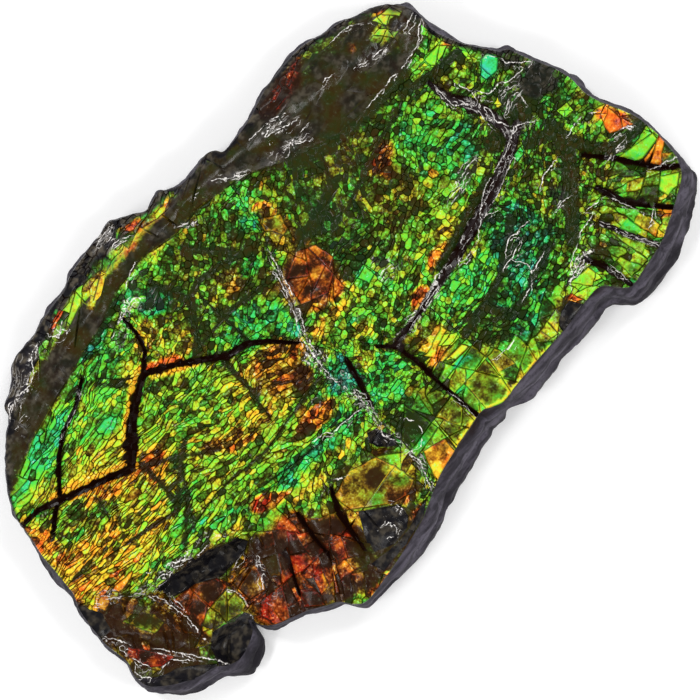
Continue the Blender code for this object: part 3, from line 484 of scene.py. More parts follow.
# Facets with sharp edges: their corners, and the film's colour and shine, or None for those of their place
BRIGHT_FACETS = {
    "turquoise": ([(46.8, 11.4), (48.8, 13.1), (50.1, 13.3), (50.8, 11.4), (49.2, 10.0), (47.0, 10.3)],
                  0.88, 0.9),
    "lime_piece": ([(41.9, 19.5), (45.3, 19.8), (46.4, 18.6), (44.9, 17.9), (42.8, 17.7), (42.0, 18.4)],
                   0.60, 1.0),
    "small_green": ([(44.6, 22.9), (45.8, 23.8), (46.0, 22.5), (45.3, 21.8)], 0.61, 1.0),
    "edge_green": ([(47.5, 17.3), (48.2, 16.8), (47.8, 14.3), (47.2, 14.6)], 0.57, 0.9),
    "corner_lime": ([(40.8, 29.9), (44.6, 29.5), (45.7, 27.7), (44.2, 27.2), (43.3, 28.5), (41.7, 27.7)],
                    0.47, 1.0),
    "corner_lime_low": ([(39.2, 28.1), (40.6, 28.3), (42.4, 25.6), (41.2, 25.4)], 0.47, 1.0),
    "fan_orange": ([(55.0, -8.6), (56.0, -6.6), (57.6, -6.1), (57.9, -9.0), (58.8, -11.6), (54.9, -9.8)],
                   0.16, 0.9),
    "fan_green": ([(52.7, -13.3), (56.0, -13.9), (60.0, -13.1), (59.8, -15.8), (56.0, -16.4), (53.2, -15.6)],
                  0.58, 0.75),
    "fan_gold": ([(55.8, -16.6), (58.9, -16.1), (59.8, -18.2), (60.2, -20.4), (58.0, -19.5), (55.4, -18.2)],
                 0.20, 0.75),
    "fan_lime": ([(54.1, -21.7), (55.8, -20.4), (58.5, -22.1), (56.7, -23.4), (54.5, -23.5)], 0.55, 0.9),
    "lime_spot": ([(51.4, -1.2), (53.6, -1.4), (53.4, -3.1), (51.6, -2.9)], 0.61, 0.9),
    "yellow_spot": ([(45.0, 6.7), (46.3, 7.0), (45.9, 5.6), (45.0, 5.8)], 0.45, 0.9),
    "emerald_spot": ([(41.0, -1.4), (43.2, -1.2), (43.0, -2.4), (41.2, -2.6)], 0.76, 0.8),
    "foot_green": ([(33.1, -22.2), (37.3, -22.5), (37.5, -24.0), (35.8, -25.1), (33.7, -24.3)], 0.57, 0.75),
    "foot_rust": ([(31.6, -23.7), (32.4, -23.5), (33.1, -25.6), (32.2, -25.2)], 0.15, 0.8),
    "rib_wedge": ([(11.3, -14.4), (13.3, -13.8), (15.0, -15.0), (14.8, -15.9), (13.0, -15.9)], 0.50, 0.95),
    "rib_bar": ([(10.6, -16.8), (14.2, -16.8), (14.8, -18.0), (11.8, -18.0)], 0.46, 0.9),
    "rib_foot": ([(10.0, -21.6), (15.2, -21.3), (15.0, -25.0), (14.2, -28.6), (9.6, -28.0)], 0.48, 0.36),
    "foot_gold": ([(24.7, -24.3), (26.5, -24.0), (26.4, -26.7), (25.0, -26.4)], 0.46, 0.62),
    "foot_orange": ([(-2.2, -24.7), (1.6, -25.7), (1.3, -29.2), (-4.2, -30.0), (-3.6, -28.0)], 0.25, 0.45),
    "foot_olive": ([(2.5, -22.3), (7.2, -21.6), (7.0, -28.0), (2.2, -28.8)], 0.47, 0.32),
    "end_red": ([(-59.2, -14.2), (-58.0, -13.4), (-56.2, -16.0), (-53.8, -19.8), (-56.4, -19.6),
                 (-58.2, -18.0)],
                -0.03, 0.29),
    "end_yellow": ([(-55.8, -10.0), (-54.0, -10.2), (-51.4, -12.6), (-51.2, -14.8), (-53.6, -15.0),
                    (-54.6, -12.8)],
                   0.43, 0.20),
    "end_olive": ([(-47.3, -19.6), (-45.2, -18.4), (-39.8, -18.1), (-39.7, -22.0), (-41.3, -22.6),
                   (-44.6, -21.7),
                   (-46.7, -20.8)], 0.42, 0.25),
    "end_rust": ([(-47.8, -13.2), (-43.4, -13.9), (-40.1, -15.7), (-39.4, -17.8), (-45.2, -18.4),
                  (-47.6, -19.6)],
                 0.07, 0.22),
    "end_brown": ([(-39.0, -18.1), (-36.5, -17.5), (-34.0, -18.4), (-35.9, -22.6), (-38.9, -22.0)],
                  0.19, 0.22),
    "smoky": ([(1.3, 10.2), (5.8, 12.3), (8.9, 10.9), (9.6, 7.5), (7.2, 5.1), (5.2, 3.8), (0.6, 5.8)],
              0.12, 0.30),
    "emerald_pair": ([(9.9, 2.4), (12.3, 3.1), (12.6, 1.0), (10.6, 0.4)], 0.72, 0.85),
    "seam_gold": ([(5.2, 20.4), (8.4, 18.4), (7.7, 16.0), (4.2, 15.0), (4.6, 17.6)], 0.38, 0.36),
    "olive_facet": ([(-17.2, -19.6), (-12.8, -18.5), (-7.7, -20.2), (-5.0, -22.3), (-5.0, -25.7),
                     (-7.7, -28.4),
                     (-11.8, -27.0), (-18.0, -22.4)], None, None),
    "bench_green": ([(-28.0, 30.4), (-23.2, 33.2), (-22.0, 32.8), (-24.4, 30.8), (-28.0, 29.6)], 0.57, 0.95),
    "bench_red": ([(-30.8, 31.6), (-27.6, 32.8), (-27.2, 32.0), (-30.4, 31.0)], 0.07, 0.8),
    "bench_yellow": ([(-22.8, 29.6), (-18.4, 32.2), (-18.0, 31.2), (-21.2, 29.4)], 0.38, 0.9),
}

# Soft dark bands over the shell: their points, half width, and how dark
SHADOWS = {
    "upper_fork": ([(-13.9, 24.6), (-11.6, 18.6)], 0.5, 0.5),
    "upper_bar": ([(-11.5, 19.1), (-8.4, 20.1), (-3.7, 19.1), (-1.0, 18.4)], 0.4, 0.5),
    "upper_fall": ([(-6.7, 25.2), (-4.0, 22.5), (-1.0, 18.4)], 0.45, 0.5),
    "fork_foot": ([(-11.8, 18.4), (-15.2, 13.6), (-18.0, 11.3)], 0.5, 0.5),
    "middle_bar": ([(-9.8, 13.5), (-3.7, 12.3), (1.1, 11.9)], 0.35, 0.5),
    "gap_branch": ([(-14.6, 8.5), (-14.7, 0.0)], 0.3, 0.5),
    "teal_band": ([(7.9, 13.0), (14.0, 14.3), (18.0, 16.0)], 0.7, 0.5),
    "low_band": ([(15.7, -16.2), (22.6, -14.7), (26.2, -13.5), (30.4, -11.4), (34.0, -8.0)], 0.6, 0.5),
    "low_band_two": ([(22.9, -19.5), (28.0, -18.3), (31.0, -16.8), (35.2, -15.9)], 0.5, 0.5),
    "low_band_three": ([(21.4, -15.9), (23.2, -19.2)], 0.7, 0.6),
    "right_curve": ([(49.2, -2.3), (48.3, -7.1), (43.5, -12.4), (38.6, -17.7)], 1.0, 0.6),
    "right_fall": ([(49.2, -4.5), (51.0, -9.3), (54.0, -12.0), (59.8, -12.4)], 0.8, 0.6),
    "right_top": ([(44.4, -1.9), (47.5, -2.7), (49.2, -5.0)], 0.7, 0.6),
    "right_smooth": ([(40.4, 2.1), (50.5, 3.4), (53.6, 5.2)], 1.4, 0.6),
    "shoulder_foot": ([(16.0, 22.6), (22.0, 21.2), (30.0, 20.4), (38.0, 20.8)], 1.3, 0.45),
    "corner_band": ([(36.0, 18.2), (41.0, 17.0), (47.0, 16.6)], 0.7, 0.5),
    "trough_upper": ([(20.5, -5.6), (29.2, -3.2), (36.0, -1.4)], 0.8, 0.5),
    "left_sweep": ([(-46.0, -1.6), (-42.0, -2.4), (-38.0, -3.6)], 0.3, 0.5),
    "left_rise": ([(-37.5, -3.8), (-34.0, -1.0), (-28.0, 3.6)], 0.4, 0.5),
    "left_rise_two": ([(-40.0, -8.5), (-36.0, -4.6)], 0.4, 0.5),
    "left_fall": ([(-36.0, 5.6), (-31.0, 2.6), (-25.0, -1.5)], 0.4, 0.45),
    "left_upright": ([(-35.5, 5.6), (-35.8, -2.6)], 0.35, 0.5),
    "left_slant": ([(-46.4, -1.4), (-43.6, 3.4), (-41.4, 7.6)], 0.3, 0.5),
    "left_level": ([(-56.0, 0.6), (-50.0, 0.4), (-45.0, -0.6)], 0.3, 0.45),
    "left_long": ([(-38.4, -9.4), (-34.2, -3.6), (-30.6, 2.8)], 0.35, 0.5),
    "plate_slant": ([(-32.4, 20.6), (-28.4, 16.4)], 0.4, 0.5),
    "plate_slant_two": ([(-26.6, 20.2), (-22.4, 22.6)], 0.35, 0.45),
}
# The half width and the darkness of the bands along the thin cracks
HAIR_SHADE = (0.3, 0.35)

# Along the upper edge: x, and the width of bare rock
EDGE_ROCK = [
    (-62, 0.3), (-54, 0.3), (-47, 1.4), (-38, 1.8), (-24, 1.6), (-18, 2.8), (-11, 2.2), (-8, 0.8), (8, 1.2),
    (20, 0.8), (36, 0.9), (48, 0.8), (56, 0.6), (62, 0.5),
]
# Only above this y is the edge an upper one
EDGE_ROCK_FROM = 10.0

# Crumpled patches with white creases, part white mineral and part painted glints: soft ovals, with x, y, half
# length, half width, turn, and how strong
FROST = {
    "ledge_left": (-54.5, -5.4, 2.2, 1.0, -35, 0.9),
    "ledge_edge": (-45.5, -9.2, 6.5, 1.0, -8, 0.8),
    "ledge_right": (-36.4, -10.6, 3.6, 0.9, -14, 0.6),
    "lobe_ridge": (-49.2, -11.6, 2.8, 0.6, 78, 0.4),
    "lobe_ridge_low": (-48.6, -17.2, 3.6, 0.35, 90, 0.3),
    "lobe_outer": (-58.8, -12.4, 2.4, 0.7, 110, 0.4),
    "lobe_outer_low": (-59.8, -18.4, 2.4, 0.6, 105, 0.8),
    "lobe_low": (-52.4, -22.0, 1.6, 0.9, -50, 0.3),
    "lobe_crease": (-55.6, -19.6, 2.2, 0.5, -12, 0.3),
    "chip_top": (-40, 29.6, 6.5, 2.2, 32, 0.5),
    "bench_white": (-29.6, 30.6, 2.0, 0.9, 10, 1.0),
    "bench_lilac": (-13.2, 33.6, 1.8, 1.0, 0, 1.0),
    "bench_top": (-13.6, 35.6, 3.4, 0.9, 0, 0.6),
    "blade_streak": (-37.6, 19.6, 3.4, 0.4, 25, 1.0),
    "blade_white": (-35.4, 21.8, 0.9, 0.7, 40, 0.9),
    "plate_white": (-34.6, 13.8, 2.0, 0.9, -30, 0.5),
    "shoulder_foot": (-17.6, 26.2, 5.2, 1.3, 32, 0.6),
    "shoulder_foot_two": (-24.6, 22.6, 3.0, 0.9, 10, 0.5),
    "top_white": (-16.4, 23.6, 2.8, 1.9, 30, 0.5),
    "top_crease": (-2.6, 27.8, 3.0, 0.5, -15, 0.9),
    "crown_edge": (6.6, 28.4, 3.6, 0.9, -30, 0.8),
    "shoulder_lines": (19.0, 28.6, 3.4, 1.8, -18, 0.5),
    "shoulder_crumple": (16.4, 24.8, 4.6, 1.5, -8, 0.55),
    "shoulder_right": (36.6, 25.8, 3.6, 1.4, -5, 0.5),
    "shoulder_mid": (28.2, 28.2, 1.6, 0.5, 15, 0.3),
    "upper_white": (0.6, 30.0, 2.0, 0.4, 0, 0.8),
    "seam_heart": (-4.2, -2.4, 3.0, 1.3, 90, 0.8),
    "seam_low": (-3.4, -9.6, 2.6, 0.9, 90, 0.8),
    "seam_pit": (-4.4, -18.8, 2.2, 0.8, 100, 0.9),
    "seam_foot": (-3.8, -24.0, 3.4, 0.7, 90, 0.8),
    "mint_frost": (-8.4, -12.6, 4.0, 0.6, -4, 0.5),
    "rust_frost": (-7.6, -7.0, 2.0, 1.6, 0, 0.5),
    "green_frost": (14.4, 0.2, 2.6, 1.8, 0, 0.7),
    "row_frost": (33.0, 1.4, 4.6, 1.3, 10, 0.7),
    "knoll_frost": (42.0, -11.8, 1.7, 0.6, 10, 0.7),
    "teal_lines": (33.0, -10.4, 2.8, 0.7, 5, 0.4),
    "teal_lines_two": (30.0, -13.2, 2.4, 0.6, 10, 0.3),
    "low_streak": (40.6, -19.0, 3.6, 0.45, 28, 0.4),
    "low_white": (36.0, -21.6, 3.4, 0.8, 8, 1.0),
    "foot_white": (16.6, -22.6, 4.0, 0.5, -6, 0.3),
    "dome_glint": (-15.0, -29.8, 1.3, 1.4, 0, 0.4),
    "dome_side": (-11.8, -28.2, 0.6, 1.0, 0, 0.8),
    "fan_white": (58.6, -20.0, 1.6, 0.5, -12, 1.0),
    "fan_line": (57.4, -10.6, 2.0, 0.6, -15, 0.9),
    "fan_pale": (53.4, -12.4, 1.8, 0.6, 0, 0.7),
    "fan_low": (49.4, -24.5, 1.2, 0.5, 5, 0.8),
    "right_grey": (48.4, 6.0, 3.4, 1.6, 10, 0.6),
    "right_pale": (46.6, 0.6, 2.4, 1.6, 0, 0.5),
    "knob_rim": (42.6, 25.8, 1.6, 0.4, 0, 0.9),
    "rib_white": (-32.0, -16.6, 0.6, 1.8, 0, 0.8),
    "rib_white_two": (-34.6, -20.2, 0.7, 1.8, -35, 0.7),
    "rib_top": (-17.2, -18.0, 2.6, 0.5, 10, 0.5),
    "rib_pink": (-36.4, -24.6, 1.8, 1.2, -30, 0.5),
}
# And crumpled lines, their white creases also part white mineral and part painted glints: their points, half
# width, and how strong
FROST_LINES = {
    "pale_seam": (GROOVES["pale_seam"][0][4:], 0.6, 0.6),
    "seam_foot": (GROOVES["seam_foot"][0], 0.6, 0.6),
    "trough_upper": ([(p[0], p[1] + 0.5) for p in GROOVES["long_trough"][0]], 0.45, 0.6),
    "trough_lower": ([(p[0], p[1] - 0.7) for p in GROOVES["long_trough"][0]], 0.4, 0.5),
    "cross_trough": (GROOVES["cross_trough"][0][2:], 1.1, 0.6),
    "cross_trough_top": (GROOVES["cross_trough"][0][:3], 0.5, 0.7),
    "chip_rim": ([(-45.4, 26.2), (-43.6, 27.6), (-41.0, 27.0), (-37.0, 29.0), (-36.0, 31.0),
                  (-34.4, 31.2)], 0.4, 0.9),
    "fan_line_two": (GROOVES["fan_line_two"][0], 0.5, 0.8),
    "fan_line_one": (GROOVES["fan_line_one"][0][1:], 0.35, 0.8),
    "fan_line_three": (GROOVES["fan_line_three"][0][:2], 0.45, 0.5),
}

# Thin white lines, where creases of the shell catch the light: their points
WHITE_LINES = [
    [(30.4, 20.6), (34.2, 20.9), (36.7, 21.2), (40.0, 21.2), (42.5, 21.8), (44.0, 22.5), (44.7, 23.4),
     (46.1, 24.3)],
    [(49.9, 12.7), (51.0, 11.4), (51.2, 10.0), (52.5, 8.7), (54.0, 7.5)],
    [(44.6, 10.3), (45.5, 8.3), (47.7, 8.5), (49.7, 7.4), (52.3, 7.4)],
    [(45.5, 4.5), (47.5, 5.6), (49.2, 5.2), (48.8, 3.4)],
    [(43.3, 12.7), (43.9, 10.5), (43.3, 8.3), (44.1, 6.5), (43.5, 4.3), (44.6, 2.1), (47.5, 0.3)],
    [(40.4, 14.6), (40.4, 10.9), (42.2, 10.0), (42.6, 7.4), (42.2, 4.6)],
    [(11.2, -7.7), (13.0, -8.1), (15.1, -7.9), (17.5, -7.2), (19.9, -7.5)],
    [(10.4, -9.3), (13.6, -8.7), (16.0, -8.6), (18.1, -8.0)],
    [(17.2, -7.1), (19.0, -6.2), (21.1, -6.5)],
    [(22.9, -7.4), (24.1, -6.5), (26.2, -5.0), (27.4, -4.2), (28.6, -3.8)],
    [(24.1, -7.7), (26.8, -7.4), (28.3, -6.6), (29.2, -5.7), (31.0, -4.8), (32.8, -5.7)],
    [(31.3, -4.1), (32.8, -2.9), (34.6, -1.8), (37.0, -1.2), (41.3, -0.1), (42.6, 0.8), (44.8, 1.2)],
    [(32.2, -4.5), (34.6, -4.2), (37.0, -3.3), (39.4, -2.3), (40.8, -1.6)],
    [(29.5, -11.6), (31.0, -10.4), (32.2, -10.2), (33.1, -11.0), (34.0, -10.4), (34.9, -10.5)],
    [(26.8, -13.5), (28.0, -12.9), (29.8, -12.9), (31.0, -12.3), (32.4, -12.0)],
    [(29.5, -13.5), (30.4, -14.4), (30.7, -15.9), (30.1, -16.8), (31.6, -16.5), (33.6, -15.9)],
    [(26.5, -18.8), (28.0, -18.3), (29.2, -17.7)],
    [(32.7, -23.3), (33.4, -22.4), (34.9, -21.6), (36.1, -21.8), (37.5, -22.1)],
    [(35.2, -20.7), (36.1, -19.8), (38.6, -18.8), (40.4, -17.7), (43.5, -17.2)],
    [(16.2, -22.4), (17.8, -22.4), (19.3, -22.8), (20.5, -22.4)],
    [(50.3, -5.2), (52.1, -4.7), (54.5, -4.9), (55.6, -5.8)],
    [(40.0, -12.4), (41.3, -12.2), (42.8, -12.4)],
    [(40.8, -8.2), (42.6, -7.1), (45.3, -6.7)],
    [(51.6, -12.7), (53.6, -12.4), (55.4, -12.2)],
    [(54.9, -10.4), (57.1, -10.7), (58.0, -11.3)],
    [(43.9, -16.0), (46.1, -16.2)],
    [(55.8, -18.6), (58.5, -19.7), (60.2, -20.1)],
    [(44.8, -21.2), (45.3, -23.0), (46.4, -24.8), (47.0, -26.5), (48.1, -27.6)],
    [(40.2, -25.6), (40.4, -28.3)],
    [(47.7, -17.0), (48.6, -19.5), (49.2, -21.2)],
    [(48.8, -24.8), (50.1, -24.3), (51.2, -23.4)],
    [(14.0, 30.2), (17.6, 30.2), (19.1, 29.7), (21.0, 29.0)],
    [(15.1, 28.8), (17.2, 28.3), (19.1, 27.7), (20.9, 27.2)],
    [(14.5, 26.3), (16.2, 25.4), (18.0, 25.2), (20.9, 25.4)],
    [(16.3, 24.3), (18.0, 24.6), (19.8, 23.6)],
    [(27.7, 28.1), (28.8, 28.6), (29.7, 28.3)],
    [(33.9, 26.3), (35.7, 25.7), (37.5, 25.4), (39.3, 25.4)],
    [(34.0, 32.2), (36.4, 32.2), (37.8, 31.9), (38.9, 31.1), (40.0, 30.1)],
    [(43.6, 25.2), (45.4, 25.9)],
    [(-45.4, 26.0), (-44.0, 27.8), (-42.0, 27.4), (-39.2, 27.4), (-37.6, 28.4), (-36.8, 29.4), (-35.8, 30.8),
     (-34.4, 31.2)],
    [(-45.2, 24.4), (-43.8, 24.6)],
    [(-31.4, 30.4), (-30.8, 29.4), (-29.6, 30.4), (-29.0, 29.4)],
    [(-41.8, 18.0), (-38.4, 19.0), (-36.8, 19.4), (-36.0, 20.4), (-34.4, 20.8)],
    [(-24.4, 23.4), (-22.8, 24.2), (-19.2, 26.0), (-18.0, 27.2), (-16.0, 28.4), (-14.0, 29.0)],
    [(-22.0, 24.4), (-19.6, 25.0), (-18.0, 25.6), (-16.8, 24.6)],
    [(-16.0, 35.8), (-14.4, 36.2), (-12.8, 36.4)],
    [(-14.0, 33.6), (-12.4, 33.8), (-11.6, 33.2)],
    [(1.2, 12.2), (0.2, 9.0), (-1.3, 5.6), (-3.2, 1.8), (-3.9, -2.0), (-4.4, -6.0), (-3.7, -10.0),
     (-3.4, -12.8),
     (-3.9, -14.8), (-4.4, -17.2), (-5.1, -18.5), (-4.4, -19.9), (-3.6, -21.6), (-4.3, -23.6), (-3.6, -25.3),
     (-4.4, -27.0), (-5.5, -29.4)],
    [(2.9, 15.4), (2.0, 12.2), (1.2, 9.2), (-0.2, 5.6), (-2.2, 2.2), (-3.2, -1.4)],
    [(-2.9, -10.0), (-2.4, -11.7), (-3.2, -14.8)],
    [(-0.5, -19.2), (0.5, -20.9), (-0.2, -22.3), (-1.6, -23.6)],
    [(-13.5, -11.1), (-11.4, -11.4), (-10.4, -12.3), (-8.0, -12.4), (-5.0, -12.8)],
    [(-17.5, -18.5), (-16.2, -17.5), (-14.3, -18.5)],
    [(-15.8, -30.6), (-15.0, -31.3), (-13.8, -30.3), (-14.1, -28.7), (-15.7, -28.6)],
    [(-11.4, -27.4), (-11.2, -28.8)],
    [(7.5, -21.6), (7.8, -24.0), (7.6, -26.4)],
    [(-54.5, -5.8), (-52.1, -7.6), (-50.6, -8.5), (-49.8, -9.7), (-48.6, -12.1), (-48.4, -13.9),
     (-47.9, -16.6),
     (-48.2, -18.4), (-48.3, -21.1)],
    [(-47.4, -12.9), (-47.3, -16.0)],
    [(-59.3, -10.3), (-58.4, -11.2), (-56.9, -14.5), (-54.5, -17.5), (-53.3, -19.3), (-51.8, -21.4),
     (-49.5, -25.0),
     (-48.8, -26.8)],
    [(-59.1, -13.3), (-58.8, -15.4), (-58.1, -17.8)],
    [(-56.7, -19.8), (-54.8, -19.5), (-53.6, -20.8), (-52.4, -22.0)],
    [(-60.3, -16.6), (-59.9, -18.4), (-58.8, -19.6)],
    [(-47.3, -7.3), (-46.4, -7.9), (-45.2, -8.8), (-43.7, -8.5), (-42.2, -9.7), (-41.0, -10.3),
     (-39.8, -11.0),
     (-37.4, -10.9)],
    [(-47.9, -9.7), (-46.4, -10.3), (-44.6, -10.0)],
    [(-40.4, -18.1), (-39.6, -19.3), (-39.5, -21.4), (-40.4, -23.8)],
    [(-33.2, -18.4), (-34.4, -19.9), (-35.3, -21.1), (-36.2, -22.3)],
    [(-36.5, -16.3), (-35.0, -16.0)],
]
# How far from a line its offset is told, and the offset stored where none is near
WHITE_LINE_REACH = 1.2
NO_LINE = 30.0


def widened(name, *halves):
    """A groove's points, with a half width at each."""
    return [(*point, half) for point, half in zip(GROOVES[name][0], halves)]


# The bold, dark gaps: their points and the half width at each, along a groove or most of one
DARK_GAPS = {
    "left": (widened("plate_gap_left", 0.25, 0.35, 0.45, 0.35, 0.45)
             + widened("plate_gap_right", 0.5, 0.8, 0.7, 0.45)
             + widened("middle_run", 0.4, 0.3, 0.4, 0.5, 0.4, 0.3) + [(-4.2, 1.8, 0.2)]),
    "branch": [(-49.4, 11.0, 0.35), (-51.6, 9.6, 0.3), (-53.3, 8.2, 0.25), (-54.2, 7.2, 0.1)],
    "divide": widened("plate_divide", 0.2, 0.22, 0.25, 0.2, 0.2, 0.15),
    "upper_run": widened("upper_left_run", 0.3, 0.25, 0.2, 0.15),
    "trough": widened("long_trough", 0.4, 0.3, 0.5, 0.8, 0.9, 0.9, 0.9, 0.7),
    "cross": widened("cross_trough", 0.3, 0.7, 0.9, 0.8, 0.9, 0.6),
    "rib_one": widened("rib_line_one", 0.2, 0.2, 0.25, 0.3, 0.25, 0.3)[1:],
    "seam_side": [(-0.6, -5.6, 0.3), (-1.6, -9.4, 0.4), (-3.0, -14.0, 0.2)],
    "fan_one": widened("fan_line_one", 0.4, 0.35, 0.3),
    "fan_two": widened("fan_line_two", 0.3, 0.3, 0.3),
    "fan_three": widened("fan_line_three", 0.4, 0.4, 0.4, 0.3),
    "fan_four": widened("fan_line_four", 0.3, 0.3, 0.35, 0.3),
    "ribs_three": widened("low_rib_three", 0.3, 0.3, 0.2),
    "ribs_four": widened("low_rib_four", 0.3, 0.3, 0.2),
    "ribs_five": [(-17.0, -18.6, 0.3), (-18.8, -22.0, 0.4), (-19.5, -26.0, 0.3), (-20.2, -30.0, 0.2)],
}

# Bright rims of plates: their points, the side they are on (1 left, -1 right, 0 both), width, and film colour
GLOWING_RIMS = {
    "gap_upper": ([(-49.2, 11.4), (-44.0, 9.4), (-40.0, 7.9), (-37.3, 6.6), (-34.6, 9.2), (-32.0, 11.8),
                   (-28.4, 14.2), (-25.5, 16.0)], 1, 1.3, 0.29),
    "gap_tip": ([(-38.6, 7.0), (-37.3, 6.6), (-36.0, 8.0)], 1, 1.0, 0.19),
    "gap_lower": ([(-47.5, 10.0), (-44.0, 8.8), (-40.0, 7.3), (-37.3, 6.2), (-34.6, 8.6)], -1, 0.6, 0.22),
    "branch_rust": ([(-25.0, 15.9), (-20.2, 13.3)], 1, 1.3, 0.10),
    "branch_gold": ([(-24.0, 14.6), (-20.2, 12.6), (-18.0, 11.2)], -1, 0.9, 0.30),
    "foot_left": ([(-4.4, -30.0), (-3.0, -29.3), (1.0, -28.3)], 1, 0.5, 0.33),
    "foot_middle": ([(2.2, -28.0), (5.0, -27.5), (8.6, -26.9)], 1, 0.4, 0.42),
    "foot_right": ([(9.6, -27.2), (12.6, -28.2), (16.0, -27.8), (20.0, -27.4), (24.0, -27.2)], 1, 0.4, 0.44),
    "foot_line": ([(14.4, -27.9), (15.6, -22.0)], 0, 0.3, 0.52),
}


# What lies where on the plan

# Smooth noise: how many millimetres its lumps are long, its seed, and how many octaves it has
WAVES = {
    "gap_width": (1.6, 31.0, 1),
    "crack_depth": (2.0, 21.0, 1),
    "fine_crumple": (0.9, 5.0, 2),
    "broad_crumple": (3.2, 15.0, 2),
    "edge_rock": (2.5, 41.0, 2),
    "worn_shoulder": (4.5, 45.0, 2),
    "film": (3.0, 61.0, 1),
    "rim_film": (1.0, 81.0, 1),
    "tile_shine": (3.5, 71.0, 2),
    "marble": (2.2, 33.0, 2),
    "hollow": (11.0, 91.0, 2),
}
OCTAVE_SEED = 7.3
NOISE_GAIN = 1.4  # brings the noise to about -1 to 1
# How far a painted oval reaches and fades, as shares of its size, and the shoulder of its half width
OVAL_PAINT = (1.25, 0.5)
SHOULDER_PAINT = (1.25, 0.35)


def smooth_step(value):
    """0 to 1 as the value goes from 0 to 1, with soft ends."""
    value = np.clip(value, 0.0, 1.0)
    return value * value * (3.0 - 2.0 * value)


def closed_curve(points):
    """A Catmull-Rom curve through the drawn points, as a closed run of closer ones."""
    points = np.array(points, float)
    before, after, later = np.roll(points, 1, 0), np.roll(points, -1, 0), np.roll(points, -2, 0)
    runs = []
    for step in range(CURVE_STEPS):
        t = step / CURVE_STEPS
        runs.append(0.5 * (2 * points + (after - before) * t
                           + (2 * before - 5 * points + 4 * after - later) * t ** 2
                           + (3 * points - before - 3 * after + later) * t ** 3))
    return np.stack(runs, 1).reshape(-1, points.shape[1])


def nearest_on(x, y, line):
    """For each place: its distance to a line of points, the line's values there, and its side."""
    best, found, side = np.full(np.shape(x), 1e9), None, np.zeros(np.shape(x))
    for start, end in zip(line, line[1:]):
        start, end = np.array(start, float), np.array(end, float)
        run = end - start
        ahead = (x - start[0]) * run[0] + (y - start[1]) * run[1]
        along = np.clip(ahead / (run[0] ** 2 + run[1] ** 2), 0, 1)
        values = start + np.multiply.outer(along, run)
        distance = np.hypot(x - values[..., 0], y - values[..., 1])
        closer = distance < best
        best = np.where(closer, distance, best)
        found = values if found is None else np.where(closer[..., None], values, found)
        side = np.where(closer, np.sign(run[0] * (y - start[1]) - run[1] * (x - start[0])), side)
    return best, found, side


def distance_to(x, y, line):
    return nearest_on(x, y, line)[0]


def distance_to_lines(x, y, lines):
    return np.min([distance_to(x, y, line) for line in lines], axis=0)


def distance_to_edge(x, y):
    """How far each place is from the face's edge."""
    return distance_to(x, y, [point[:2] for point in FACE_EDGE + FACE_EDGE[:1]])


def depth_inside(x, y, corners):
    """How far each place lies inside a closed outline, and below zero outside it."""
    inside = np.zeros(np.shape(x), bool)
    for (x0, y0), (x1, y1) in zip(corners, corners[1:] + corners[:1]):
        if y0 != y1:
            inside ^= ((y0 > y) != (y1 > y)) & (x < x0 + (y - y0) * (x1 - x0) / (y1 - y0))
    distance = distance_to(x, y, corners + corners[:1])
    return np.where(inside, distance, -distance)


def oval(x, y, centre_x, centre_y, long, wide, turn):
    """The distance of each place from an oval's centre, as a share of the oval's own reach that way."""
    c, s = math.cos(math.radians(turn)), math.sin(math.radians(turn))
    return np.hypot(((x - centre_x) * c + (y - centre_y) * s) / long,
                    ((y - centre_y) * c - (x - centre_x) * s) / wide)


def shoulder_at(x):
    """The shoulder's middle, its half width and its height at each x."""
    at = np.array(SHOULDER).T
    return [np.interp(x, at[0], values) for values in at[1:]]


def face_relief(x, y):
    """The height of the shell face above the surface that the slab rests on."""
    centre, half, height = shoulder_at(x)
    past = np.maximum(y - centre, 0.0)
    total = height * smooth_step(1.0 - np.abs(y - centre) / (half * SHOULDER_EASE))
    total -= SHOULDER_FALL[0] * past + SHOULDER_FALL[1] * past ** 2
    at = np.array(LEDGE).T
    edge, drop = (np.interp(x, at[0], values) for values in at[1:])
    total -= drop * smooth_step((edge - y) / LEDGE_RUN)
    for centre_x, centre_y, long, wide, turn, height, softness in MOUNDS.values():
        across = oval(x, y, centre_x, centre_y, long, wide, turn)
        total += height * smooth_step((1.0 + softness - across) / (2.0 * softness))
    for corners, height in PLATES.values():
        total += height * smooth_step(0.5 + depth_inside(x, y, corners) / PLATE_RUN)
    for line, half, height in CRESTS.values():
        total += height * smooth_step(1.0 - distance_to(x, y, line) / (CREST_EASE * half))
    groove = np.zeros(np.shape(x))
    for line, half, depth in GROOVES.values():
        groove = np.maximum(groove, depth * smooth_step(GROOVE_EASE - distance_to(x, y, line) / half))
    crown = CROWN * (y / CROWN_HALF) ** 2 + END_FALL * np.abs(x / END_HALF) ** 3
    swell = SWELL * np.sin(x * math.tau / SWELL_LENGTHS[0]) * np.cos(y * math.tau / SWELL_LENGTHS[1])
    return FACE_HEIGHT - crown + swell + total - groove


def ragged(x, y):
    """The places, moved about a little, so that what is looked up there has uneven edges."""
    for size, reach, seed in RAGGED:
        move_x, move_y = (reach * noise_at(x, y, size, seed + more, 1) for more in RAGGED_SEEDS)
        x, y = x + move_x, y + move_y
    return x, y


def painted(x, y, whole, field, shoulder, ovals):
    """Values at each place: the whole face's, painted over by ovals, then the shoulder, then more ovals."""
    share = shoulder_share(x, y)
    x, y = ragged(x, y)
    reach, fade = OVAL_PAINT
    values = np.tile(np.array(whole, float), (len(x), 1))
    layers = [(row[:5], row[5:]) for row in field.values()] + [(None, shoulder)]
    layers += [(row[:5], row[5:]) for row in ovals.values()]
    for place, new in layers:
        cover = share if place is None else smooth_step((reach - oval(x, y, *place)) / fade)
        values += cover[:, None] * (np.array(new, float) - values)
    return values


